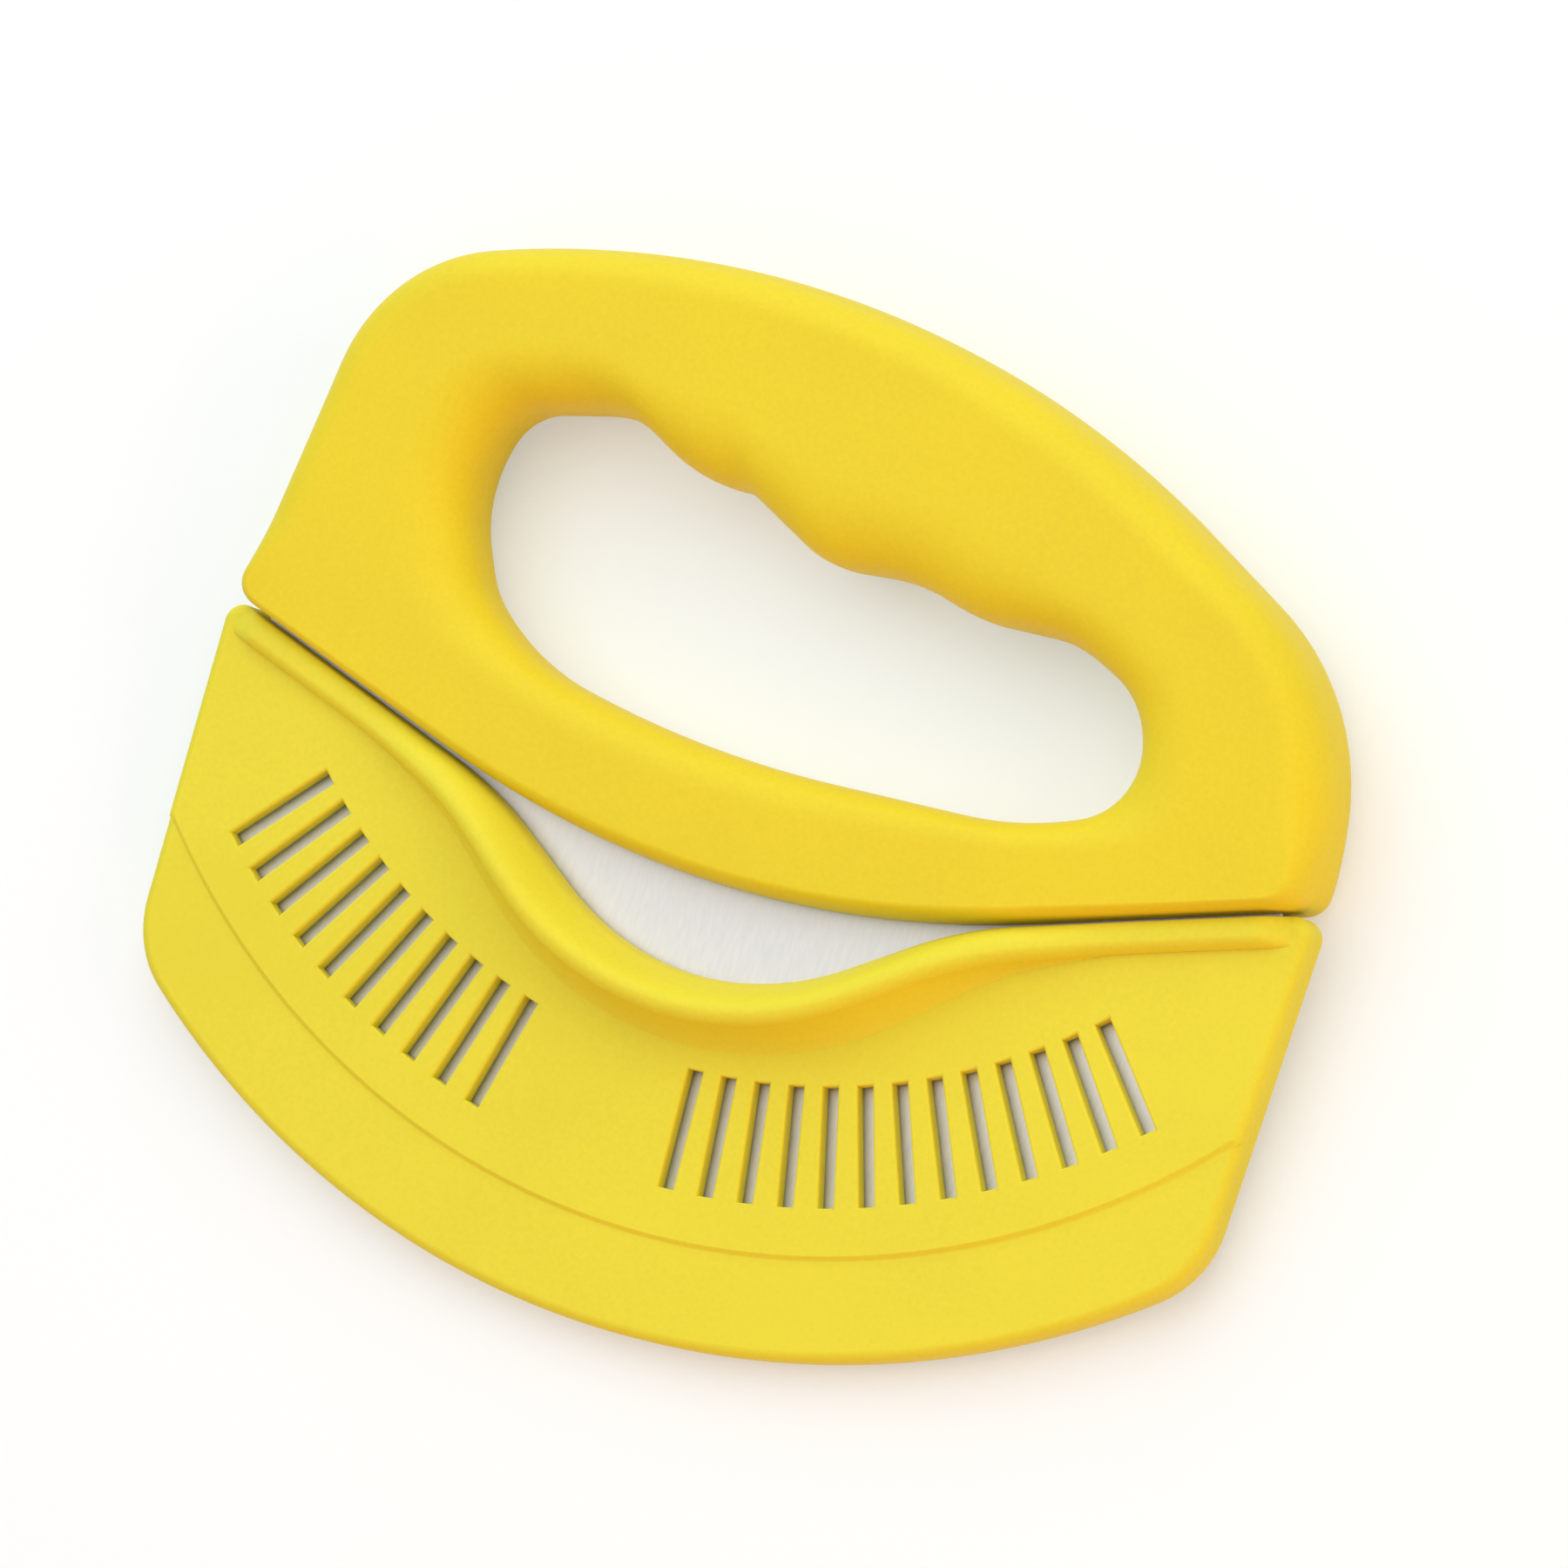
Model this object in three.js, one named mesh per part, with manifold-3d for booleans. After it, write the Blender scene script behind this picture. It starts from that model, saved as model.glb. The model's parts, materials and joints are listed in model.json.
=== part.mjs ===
// Rocker pizza cutter: a curved steel blade in a closed ring handle, with a slide-on blade guard.
// Millimetres. The tool is drawn flat, X across, Y from blade edge to grip, Z to the front face,
// with the blade in the plane z = 0 and the middle of the handle's lower edge at y = 0.
// At the end it is laid on its back, resting on the guard's lower edge and the handle's back.

import * as THREE from 'three';
import { LoftGeometry } from 'three/addons/geometries/LoftGeometry.js';
import { mergeVertices } from 'three/addons/utils/BufferGeometryUtils.js';
import Module from 'manifold-3d';

const wasm = await Module();
wasm.setup();

// General values
const clearance = 0.3;
const seamGap = 0.3;
const chordError = 0.08;
const overshoot = 5;
const roundSides = 16;
const grindSegments = 96;
const lipSegments = 56;
const degree = Math.PI / 180;

// Lower edge of the handle: an arc that runs out into straight ends
const lowerEdgeRadius = 155;
const lowerEdgeSlope = 18 * degree;

// Handle outline above that edge: the foot half width, then corners as x, y and radius
const handleFootHalf = 87.3;
const handleFootRadius = 4;
const rightShoulder = [90, 48.9, 38.8];
const crownCorner = [-1.7, 99.4, 149];
const leftShoulder = [-79.6, 74.4, 27];

// Finger opening, counter-clockwise from its lower left: four finger hollows along the top
const openingCorners = [
  [-39.7, 23.1, 37], [-8.7, 17.4, 179], [41.7, 20.1, 50], [59.5, 27.4, 10.5], [54.2, 42.4, 12.4],
  [41.7, 47.9, 23], [26.2, 47.1, 21], [14.5, 50, 31], [0.9, 48.5, 14], [-13.6, 55.7, 7.5],
  [-22.3, 55.5, 20], [-35.3, 62.4, 16.5], [-54.3, 57.9, 8.8], [-57.2, 44.4, 20.5], [-50.3, 31.3, 16.4],
];
// Places in that list of the corners that face the outline's lower middle, right foot,
// right shoulder, crown, left shoulder and left foot
const facingIndexes = [1, 3, 4, 8, 12, 14];

// Handle section; the roundings are superellipses, and a power of 2 would make them elliptical
const handleWall = 2.5;
const partingLand = 0.8;
const outerRound = 7;
const lowerRound = 2.4;
const openingRound = 12;
const footBlend = 14;
const roundingShare = 0.38;
const roundingPower = 2.4;

// Stations round the ring, by stretch between facing corners, and how they crowd to the feet
const stretchStations = [8, 8, 16, 16, 8, 8];
const footCrowding = 1.6;
const rightFootIndex = 1;
const rightShoulderIndex = 2;
const crownIndex = 3;
const leftShoulderIndex = 4;
const leftFootIndex = 5;

// Blade
const bladeThickness = 1.2;
const grindWidth = 7;
const edgeThickness = 0.3;
const tangHeight = 13;
const tangShoulder = 2.4;
const tangSetback = 4.5;
const tangInset = 6;
const tangRadius = 3;

// Handle screws, heads sunk in the back
const screwHeadDiameter = 6;
const screwHeadHeight = 2.2;
const screwShankDiameter = 2.8;
const screwLength = 10;
const screwTipLength = 1.5;
const driveSlotWidth = 0.9;
const driveSlotLength = 3.4;
const driveSlotDepth = 1.2;
const screwSeat = 4.5;
const bossWall = 1.4;
const spigotReach = 2.1;
const spigotWall = 1;
const tangScrewShare = 2 / 3;
const tangScrewRise = 7.4;

// Guard outline
const guardTopHalf = 89.3;
const guardFootHalf = 88.1;
const guardDrop = 66.4;
const guardArcRadius = 134.6;
const guardCornerRadius = 16;
const guardTopRadius = 2.8;
const guardGap = 0.7;
const dipDepth = 13.6;
const dipRadius = 42;
const dipSlope = 34 * degree;
const browRadius = 60;

// Guard section
const guardFaceWall = 2.4;
const guardRimWall = 2.6;
const guardPlay = 0.6;
const guardEdgeRound = 1.6;
const bandWidth = 15.3;
const bandDepth = 0.6;
const ribWidth = 1.2;
const ribLength = 26;
const ribInset = 3.5;

// Lip along the guard's top edge; in the dip it grows to a bead over a flared slope
const lipWidth = 4.6;
const lipHeight = 2.4;
const lipCrest = 2.9;
const lipBrim = 0.8;
const lipEnd = 5;
const beadWidth = 2.3;
const beadHeight = 6;
const beadCrest = 2;
const flareWidth = 7;
const flareHeight = 6.8;
const flareSink = 1.2;
const flareInner = 22;
const flareOuter = 64;
const rearFlare = 0.05;

// Drying slots through the guard's front, in two groups along the arc
const slotWidth = 2.4;
const slotLength = 17.5;
const slotInset = 22;
const slotPitch = 3.2 * degree;
const leftSlotsAngle = 28.4 * degree;
const leftSlotCount = 10;
const rightSlotsAngle = 22.3 * degree;
const rightSlotCount = 13;

// Taper of the faces from grip to guard edge, which is also how far the tool tilts at rest
const restAngle = 3.6 * degree;

// Derived sizes
const bladeHalf = bladeThickness / 2;
const cavityHalf = bladeHalf + guardPlay;
const guardHalf = cavityHalf + guardFaceWall;
const bladeInset = guardRimWall + guardPlay;
const guardArcY = guardArcRadius - guardDrop;
const seamHalf = seamGap / 2;

// Materials
const handlePlastic = new THREE.MeshStandardMaterial({ color: 0xf4dc3c, roughness: 0.42, metalness: 0 });
const guardPlastic = new THREE.MeshStandardMaterial({ color: 0xf0de46, roughness: 0.45, metalness: 0 });
const bladeSteel = new THREE.MeshStandardMaterial({ color: 0xdedbd5, roughness: 0.32, metalness: 1 });
const screwSteel = new THREE.MeshStandardMaterial({ color: 0xb9babb, roughness: 0.38, metalness: 1 });

// Outline helpers

function arc(cx, cy, radius, from, turn) {
  const step = 2 * Math.acos(1 - Math.min(chordError / radius, 0.5));
  const half = Math.max(1, Math.ceil(Math.abs(turn) / step / 2));
  const points = [];
  for (let i = 0; i <= 2 * half; i += 1) {
    const angle = from + (turn * i) / (2 * half);
    points.push(new THREE.Vector2(cx + radius * Math.cos(angle), cy + radius * Math.sin(angle)));
  }
  return points;
}

// Arc that rounds the corner at [x, y, radius] between two neighbours
function cornerArc(before, corner, after) {
  const [x, y, radius] = corner;
  const point = new THREE.Vector2(x, y);
  const into = point.clone().sub(new THREE.Vector2(before[0], before[1])).normalize();
  const out = new THREE.Vector2(after[0], after[1]).sub(point).normalize();
  const turn = Math.atan2(into.cross(out), into.dot(out));
  const start = point.clone().addScaledVector(into, -radius * Math.tan(Math.abs(turn) / 2));
  const normal = new THREE.Vector2(-into.y, into.x).multiplyScalar(Math.sign(turn));
  const centre = start.clone().addScaledVector(normal, radius);
  const from = Math.atan2(start.y - centre.y, start.x - centre.x);
  return arc(centre.x, centre.y, radius, from, turn);
}

// Rounds every corner of a closed polygon; one list of points for each corner
function roundedLoop(corners) {
  return corners.map((corner, i) => {
    const before = corners[(i + corners.length - 1) % corners.length];
    return cornerArc(before, corner, corners[(i + 1) % corners.length]);
  });
}

// Rounds the inner corners of an open chain and keeps its two ends
function roundedChain(corners) {
  const last = corners.length - 1;
  const points = [new THREE.Vector2(corners[0][0], corners[0][1])];
  for (let i = 1; i < last; i += 1) points.push(...cornerArc(corners[i - 1], corners[i], corners[i + 1]));
  points.push(new THREE.Vector2(corners[last][0], corners[last][1]));
  return points;
}

// Points of a loop from the middle of one corner to the middle of the next chosen one
function stretchBetween(loop, first, second) {
  const middle = (index) => (loop[index].length - 1) / 2;
  const points = loop[first].slice(middle(first));
  for (let i = (first + 1) % loop.length; i !== second; i = (i + 1) % loop.length) points.push(...loop[i]);
  points.push(...loop[second].slice(0, middle(second) + 1));
  return points;
}

// Places along a polyline at the given shares of its length
function pointsAtShares(points, shares) {
  const lengths = [0];
  for (let i = 1; i < points.length; i += 1) {
    lengths.push(lengths[i - 1] + points[i].distanceTo(points[i - 1]));
  }
  const total = lengths[lengths.length - 1];
  return shares.map((share) => {
    const along = share * total;
    let i = 1;
    while (i < points.length - 1 && lengths[i] < along) i += 1;
    const part = (along - lengths[i - 1]) / (lengths[i] - lengths[i - 1]);
    return points[i - 1].clone().lerp(points[i], part);
  });
}

// Height of the handle's straight lower ends, carried to any x
const lowerEdgeVertex = -lowerEdgeRadius * (1 / Math.cos(lowerEdgeSlope) - 1);

function lowerEndHeight(x, rise = 0) {
  return lowerEdgeVertex + Math.abs(x) * Math.tan(lowerEdgeSlope) + rise / Math.cos(lowerEdgeSlope);
}

// Height of the handle's lower edge, arc and straight ends, or of a line a rise above it
function lowerEdgeHeight(x, rise = 0) {
  const radius = lowerEdgeRadius - rise;
  if (Math.abs(x) >= radius * Math.sin(lowerEdgeSlope)) return lowerEndHeight(x, rise);
  return lowerEdgeRadius - Math.sqrt(radius ** 2 - x ** 2);
}

// Solid helpers

function solidOf(geometry) {
  const bare = new THREE.BufferGeometry();
  bare.setAttribute('position', geometry.attributes.position);
  bare.setIndex(geometry.index);
  const merged = mergeVertices(bare, 1e-4);
  const vertProperties = new Float32Array(merged.attributes.position.array);
  const triVerts = new Uint32Array(merged.index.array);
  return new wasm.Manifold(new wasm.Mesh({ numProp: 3, vertProperties, triVerts }));
}

function geometryOf(solid) {
  const mesh = solid.getMesh();
  const geometry = new THREE.BufferGeometry();
  geometry.setAttribute('position', new THREE.BufferAttribute(mesh.vertProperties, mesh.numProp));
  geometry.setIndex(new THREE.BufferAttribute(mesh.triVerts, 1));
  geometry.computeVertexNormals();
  return geometry;
}

function namedMesh(name, solid, material) {
  const mesh = new THREE.Mesh(geometryOf(solid), material);
  mesh.name = name;
  return mesh;
}

// Plate between two heights
function plate(points, bottom, top, holes = []) {
  const shape = new THREE.Shape(points);
  holes.forEach((hole) => shape.holes.push(new THREE.Path(hole)));
  const geometry = new THREE.ExtrudeGeometry(shape, { depth: top - bottom, bevelEnabled: false });
  geometry.translate(0, 0, bottom);
  return solidOf(geometry);
}

// Upright cylinder between two heights
function peg([x, y], diameter, bottom, top) {
  const low = Math.min(bottom, top);
  const high = Math.max(bottom, top);
  const geometry = new THREE.CylinderGeometry(diameter / 2, diameter / 2, high - low, roundSides);
  geometry.rotateX(Math.PI / 2);
  geometry.translate(x, y, (low + high) / 2);
  return solidOf(geometry);
}

function block(width, length, bottom, top, place) {
  const geometry = new THREE.BoxGeometry(width, length, top - bottom);
  geometry.translate(0, 0, (bottom + top) / 2);
  geometry.applyMatrix4(place);
  return solidOf(geometry);
}

// Outlines of blade and guard

// Side and bottom edges from upper left, round the arc, to upper right, drawn in by the inset
const cornerX = guardFootHalf - guardCornerRadius;
const cornerY = guardArcY - Math.sqrt((guardArcRadius - guardCornerRadius) ** 2 - cornerX ** 2);
const arcHalfAngle = Math.atan2(cornerX, guardArcY - cornerY);
const guardEndHeight = lowerEndHeight(guardTopHalf, -guardGap);
const sideLean = Math.atan2(guardTopHalf - guardFootHalf, guardEndHeight - cornerY);

function lowerOutline(inset) {
  const down = -Math.PI / 2;
  const cornerTurn = Math.PI / 2 - arcHalfAngle - sideLean;
  const radius = guardCornerRadius - inset;
  return [
    ...arc(-cornerX, cornerY, radius, Math.PI + sideLean, cornerTurn),
    ...arc(0, guardArcY, guardArcRadius - inset, down - arcHalfAngle, 2 * arcHalfAngle),
    ...arc(cornerX, cornerY, radius, down + arcHalfAngle, cornerTurn),
  ];
}

// Half width of the guard's side line at a height, drawn in by the inset
function sideHalf(y, inset) {
  return guardFootHalf + (y - cornerY) * Math.tan(sideLean) - inset / Math.cos(sideLean);
}

// Top edge of the guard from right to left, past both corners
const dipVertex = -dipDepth - dipRadius * (1 / Math.cos(dipSlope) - 1);
const browX = (lowerEndHeight(0, -guardGap) - dipVertex) / (Math.tan(dipSlope) - Math.tan(lowerEdgeSlope));
const browY = lowerEndHeight(browX, -guardGap);

function topEdgeCorners(endX, endRadius) {
  const endY = lowerEndHeight(endX, -guardGap);
  return [
    [endX, endY, endRadius], [browX, browY, browRadius], [0, dipVertex, dipRadius],
    [-browX, browY, browRadius], [-endX, endY, endRadius],
  ];
}

function guardOutline() {
  const lower = lowerOutline(0);
  const first = lower[0].toArray();
  const last = lower[lower.length - 1].toArray();
  const upper = roundedChain([last, ...topEdgeCorners(guardTopHalf, guardTopRadius), first]);
  return [...lower, ...upper.slice(1, -1)];
}

// Blade outline with its tang in the handle, grown on every side by a clearance
function bladeOutline(grow) {
  const shoulderX = handleFootHalf - tangSetback + grow;
  const tangX = shoulderX - tangInset;
  const shoulderY = lowerEndHeight(shoulderX, tangShoulder + grow);
  const middleY = lowerEndHeight(0, tangHeight + grow);
  const lower = lowerOutline(bladeInset - grow);
  const upper = roundedChain([
    lower[lower.length - 1].toArray(),
    [shoulderX, shoulderY, tangRadius],
    [tangX, lowerEndHeight(tangX, tangHeight + grow), tangRadius],
    [0, middleY, lowerEdgeRadius - tangHeight - grow],
    [-tangX, lowerEndHeight(tangX, tangHeight + grow), tangRadius],
    [-shoulderX, shoulderY, tangRadius],
    lower[0].toArray(),
  ]);
  return [...lower, ...upper.slice(1, -1)];
}

// Ring of the handle

const outlineLoop = roundedLoop([
  [0, lowerEdgeVertex, lowerEdgeRadius],
  [handleFootHalf, lowerEndHeight(handleFootHalf), handleFootRadius],
  rightShoulder,
  crownCorner,
  leftShoulder,
  [-handleFootHalf, lowerEndHeight(handleFootHalf), handleFootRadius],
]);
const openingLoop = roundedLoop(openingCorners);

// Pairs of points, outline and opening, round the ring; stations crowd towards the two feet
function ringStations() {
  const pairs = [];
  const isFoot = (index) => index === rightFootIndex || index === leftFootIndex;
  stretchStations.forEach((count, i) => {
    const next = (i + 1) % stretchStations.length;
    const shares = Array.from({ length: count }, (_, k) => {
      const share = k / count;
      if (isFoot(i)) return share ** footCrowding;
      if (isFoot(next)) return 1 - (1 - share) ** footCrowding;
      return share;
    });
    const outer = pointsAtShares(stretchBetween(outlineLoop, i, next), shares);
    const facing = stretchBetween(openingLoop, facingIndexes[i], facingIndexes[next]);
    const inner = pointsAtShares(facing, shares);
    outer.forEach((point, k) => pairs.push({ outer: point, inner: inner[k] }));
  });
  return pairs;
}

// Half thickness of the handle's flat faces, growing evenly from the guard's lower edge
function faceHeight(y) {
  return guardHalf + (y + guardDrop - guardEdgeRound) * Math.tan(restAngle);
}

// Closed section of one shell between an outline point and an opening point
function shellSection({ outer, inner }, side) {
  const width = outer.distanceTo(inner);
  const away = outer.y - lowerEdgeHeight(outer.x);
  const rounding = lowerRound + (outerRound - lowerRound) * THREE.MathUtils.smoothstep(away, 0, footBlend);
  const outerReach = Math.min(rounding, width * roundingShare);
  const innerReach = Math.min(openingRound, width * roundingShare);
  const corners = [];
  const put = (across, height) => {
    const place = outer.clone().lerp(inner, across / width);
    corners.push(new THREE.Vector3(place.x, place.y, side * height(faceHeight(place.y))));
  };
  const inset = (angle) => 1 - Math.cos(angle * degree) ** (2 / roundingPower);
  const rise = (angle) => Math.sin(angle * degree) ** (2 / roundingPower);
  const skin = (angle) => (face) => partingLand + (face - partingLand) * rise(angle);
  const vault = (angle) => (face) => seamHalf + (face - handleWall - seamHalf) * rise(angle);
  const seam = () => seamHalf;
  const skinAngles = [0, 22.5, 45, 67.5, 90];
  const vaultAngles = [45, 90];
  const outerVault = Math.max(outerReach - handleWall, clearance);
  const innerVault = Math.max(innerReach - handleWall, clearance);
  put(0, seam);
  skinAngles.forEach((angle) => put(outerReach * inset(angle), skin(angle)));
  skinAngles.reverse().forEach((angle) => put(width - innerReach * inset(angle), skin(angle)));
  put(width, seam);
  put(width - handleWall, seam);
  vaultAngles.forEach((angle) => put(width - handleWall - innerVault * inset(angle), vault(angle)));
  vaultAngles.reverse().forEach((angle) => put(handleWall + outerVault * inset(angle), vault(angle)));
  put(handleWall, seam);
  return side > 0 ? corners.reverse() : corners;
}

function handleShell(stations, side) {
  const sections = stations.map((pair) => shellSection(pair, side));
  return solidOf(new LoftGeometry([...sections, sections[0]]));
}

// Screw places: three through the tang, three in the middle of the ring above
function screwPlaces(stations) {
  const spread = handleFootHalf * tangScrewShare;
  const tang = [-spread, 0, spread].map((x) => {
    return { at: [x, lowerEdgeHeight(x, tangScrewRise)], throughBlade: true };
  });
  const starts = stretchStations.map((_, i) => stretchStations.slice(0, i).reduce((sum, n) => sum + n, 0));
  const upper = [rightShoulderIndex, crownIndex, leftShoulderIndex].map((corner) => {
    const { outer, inner } = stations[starts[corner]];
    return { at: outer.clone().lerp(inner, 0.5).toArray(), throughBlade: false };
  });
  return [...tang, ...upper];
}

const bossEnd = (screw) => (screw.throughBlade ? bladeHalf + clearance : seamHalf);
const pilotDiameter = screwShankDiameter + 2 * clearance;
const spigotDiameter = pilotDiameter + 2 * spigotWall;
const socketDiameter = spigotDiameter + 2 * clearance;
const counterbore = screwHeadDiameter + 2 * clearance;

// Front shell: bosses with spigots that take the screws and pass through the blade
function handleFront(stations, screws) {
  let shell = handleShell(stations, 1).subtract(plate(bladeOutline(clearance), 0, bladeHalf + clearance));
  screws.forEach((screw) => {
    const top = faceHeight(screw.at[1]) - handleWall / 2;
    const bossDiameter = socketDiameter + 2 * bossWall;
    shell = shell.add(peg(screw.at, bossDiameter, bossEnd(screw), top));
    shell = shell.add(peg(screw.at, spigotDiameter, -spigotReach, top));
    const pilotEnd = screwLength - screwSeat + clearance;
    shell = shell.subtract(peg(screw.at, pilotDiameter, -spigotReach - overshoot, pilotEnd));
  });
  return shell;
}

// Rear shell: sockets for the spigots, seats for the screw heads and counterbores from the back
function handleRear(stations, screws) {
  let shell = handleShell(stations, -1).subtract(plate(bladeOutline(clearance), -bladeHalf - clearance, 0));
  screws.forEach((screw) => {
    const back = -faceHeight(screw.at[1]);
    shell = shell.add(peg(screw.at, counterbore + 2 * bossWall, -bossEnd(screw), back + handleWall / 2));
    shell = shell.subtract(peg(screw.at, socketDiameter, -spigotReach - clearance, overshoot));
    shell = shell.subtract(peg(screw.at, pilotDiameter, -screwSeat - overshoot, overshoot));
    shell = shell.subtract(peg(screw.at, counterbore, back - overshoot, -screwSeat));
  });
  return shell;
}

// Pan-head screw with a cross drive, its head under the seat in the rear shell
function handleScrew([x, y]) {
  const headRadius = screwHeadDiameter / 2;
  const shankRadius = screwShankDiameter / 2;
  const headEdge = screwHeadHeight / 4;
  const headUnder = -screwSeat - clearance;
  const profile = [
    [0, -screwHeadHeight], [headRadius - headEdge, -screwHeadHeight],
    [headRadius, -screwHeadHeight + headEdge], [headRadius, 0],
    [shankRadius, 0], [shankRadius, screwLength - screwTipLength], [0, screwLength],
  ].map(([r, h]) => new THREE.Vector2(r, h));
  const geometry = new THREE.LatheGeometry(profile, roundSides);
  geometry.rotateX(Math.PI / 2);
  let screw = solidOf(geometry);
  [0, Math.PI / 2].forEach((angle) => {
    const turned = new THREE.Matrix4().makeRotationZ(angle);
    const floor = driveSlotDepth - screwHeadHeight;
    const above = -screwHeadHeight - overshoot;
    screw = screw.subtract(block(driveSlotLength, driveSlotWidth, above, floor, turned));
  });
  return screw.translate([x, y, headUnder]);
}

// Blade: flat sheet with round holes for the spigots and a ground edge on both sides
function blade(screws) {
  const holes = screws
    .filter((screw) => screw.throughBlade)
    .map((screw) => arc(screw.at[0], screw.at[1], socketDiameter / 2, 0, -2 * Math.PI).slice(1));
  const sheet = plate(bladeOutline(0), -bladeHalf, bladeHalf, holes);
  const edgeRadius = guardArcRadius - bladeInset;
  const slope = (bladeHalf - edgeThickness / 2) / grindWidth;
  const profile = [
    [edgeRadius - grindWidth, bladeHalf], [edgeRadius + overshoot, edgeThickness / 2 - slope * overshoot],
    [edgeRadius + overshoot, bladeHalf + overshoot], [edgeRadius - grindWidth, bladeHalf + overshoot],
    [edgeRadius - grindWidth, bladeHalf],
  ].map(([r, h]) => new THREE.Vector2(r, h));
  const ring = new THREE.LatheGeometry(profile, grindSegments);
  ring.rotateX(Math.PI / 2);
  ring.translate(0, guardArcY, 0);
  const frontGrind = solidOf(ring);
  const rearGrind = frontGrind.mirror([0, 0, 1]);
  return sheet.subtract(frontGrind).subtract(rearGrind);
}

// Guard body with rounded edges, before it is hollowed and split
function guardBlank() {
  const geometry = new THREE.ExtrudeGeometry(new THREE.Shape(guardOutline()), {
    depth: 2 * (guardHalf - guardEdgeRound),
    bevelThickness: guardEdgeRound,
    bevelSize: guardEdgeRound,
    bevelOffset: -guardEdgeRound,
    bevelSegments: 3,
  });
  geometry.translate(0, 0, guardEdgeRound - guardHalf);
  return solidOf(geometry);
}

// Closed section of the lip at a share of its flare and its rise, as drop from the top edge and height
function lipSection(flare, rise) {
  const brim = guardHalf - guardEdgeRound + rise * (guardEdgeRound + lipBrim);
  const sunk = guardHalf - clearance / 2;
  const crest = sunk + rise * (clearance / 2 + lipHeight + flare * beadHeight);
  const crestAt = lipCrest + flare * beadCrest;
  const foot = sunk + flare * flareHeight;
  const footAt = lipWidth + flare * beadWidth;
  const end = sunk - flare * flareSink;
  const endAt = footAt + flare * flareWidth + clearance;
  const section = [[0, cavityHalf]];
  [0, 30, 60, 90].forEach((angle) => {
    const inward = THREE.MathUtils.lerp(1 - Math.cos(angle * degree), angle / 90, flare);
    section.push([crestAt * inward, brim + (crest - brim) * Math.sin(angle * degree)]);
  });
  [35, 65, 90].forEach((angle) => {
    const drop = crestAt + (footAt - crestAt) * Math.sin(angle * degree);
    section.push([drop, foot + (crest - foot) * Math.cos(angle * degree)]);
  });
  [30, 60, 90].forEach((angle) => {
    const drop = endAt - (endAt - footAt) * Math.cos(angle * degree);
    section.push([drop, foot - (foot - end) * Math.sin(angle * degree)]);
  });
  return [...section, [endAt, cavityHalf]];
}

// Lip along the top edge of the front, with its flare in the dip up to a given share
function guardLip(mostFlare) {
  const reach = guardTopHalf - guardTopRadius;
  const chain = roundedChain(topEdgeCorners(reach, 0)).reverse();
  const path = new THREE.Path(chain).getSpacedPoints(lipSegments);
  const sections = path.map((point, i) => {
    const before = path[Math.max(i - 1, 0)];
    const after = path[Math.min(i + 1, path.length - 1)];
    const along = after.clone().sub(before).normalize();
    const inward = new THREE.Vector2(along.y, -along.x);
    const fromMiddle = Math.abs(point.x);
    const flare = mostFlare * (1 - THREE.MathUtils.smoothstep(fromMiddle, flareInner, flareOuter));
    const rise = THREE.MathUtils.smoothstep(reach - fromMiddle, 0, lipEnd);
    return lipSection(flare, rise).map(([drop, z]) => {
      const place = point.clone().addScaledVector(inward, drop);
      return new THREE.Vector3(place.x, place.y, z);
    });
  });
  const lip = solidOf(new LoftGeometry(sections, { capStart: true, capEnd: true }));
  const top = guardHalf + lipHeight + beadHeight + overshoot;
  return lip.intersect(plate(guardOutline(), 0, top));
}

// Recessed band along the arc of the front face
function bandCut() {
  const inner = arc(0, guardArcY, guardArcRadius - bandWidth, Math.PI, Math.PI);
  const outer = arc(0, guardArcY, guardArcRadius + overshoot, 2 * Math.PI, -Math.PI);
  return plate([...inner, ...outer], guardHalf - bandDepth, guardHalf + overshoot);
}

// Pocket for the blade, open at the top, with grip ribs left standing on both walls
function guardPocket() {
  const mouth = guardTopHalf;
  const lower = lowerOutline(guardRimWall);
  const sides = [new THREE.Vector2(sideHalf(mouth, guardRimWall), mouth)];
  sides.push(new THREE.Vector2(-sides[0].x, mouth));
  let pocket = plate([...lower, ...sides], -cavityHalf, cavityHalf);
  const outerRib = sideHalf(cornerY, bladeInset + ribInset);
  [-outerRib, 0, outerRib].forEach((x) => {
    const underFlare = -dipDepth - lipWidth - beadWidth - flareWidth;
    const top = x === 0 ? underFlare : lowerEndHeight(x, -guardGap) - lipWidth;
    const place = new THREE.Matrix4().makeTranslation(x, top - ribLength / 2, 0);
    const low = bladeHalf + clearance;
    pocket = pocket.subtract(block(ribWidth, ribLength, low, cavityHalf + overshoot, place));
    pocket = pocket.subtract(block(ribWidth, ribLength, -cavityHalf - overshoot, -low, place));
  });
  return pocket;
}

function slotCuts() {
  const middleRadius = guardArcRadius - slotInset - slotLength / 2;
  const groups = [
    { middle: -leftSlotsAngle, count: leftSlotCount },
    { middle: rightSlotsAngle, count: rightSlotCount },
  ];
  const cuts = [];
  groups.forEach(({ middle, count }) => {
    for (let i = 0; i < count; i += 1) {
      const angle = middle + (i - (count - 1) / 2) * slotPitch;
      const place = new THREE.Matrix4().makeTranslation(0, guardArcY, 0);
      place.multiply(new THREE.Matrix4().makeRotationZ(angle));
      place.multiply(new THREE.Matrix4().makeTranslation(0, -middleRadius, 0));
      cuts.push(block(slotWidth, slotLength, 0, guardHalf + overshoot, place));
    }
  });
  return cuts;
}

// Half-space on one side of the seam between the guard's two shells
function halfSpace(side) {
  const size = 4 * guardArcRadius;
  const geometry = new THREE.BoxGeometry(size, size, size);
  geometry.translate(0, 0, side * (size / 2 + seamHalf));
  return solidOf(geometry);
}

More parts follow.
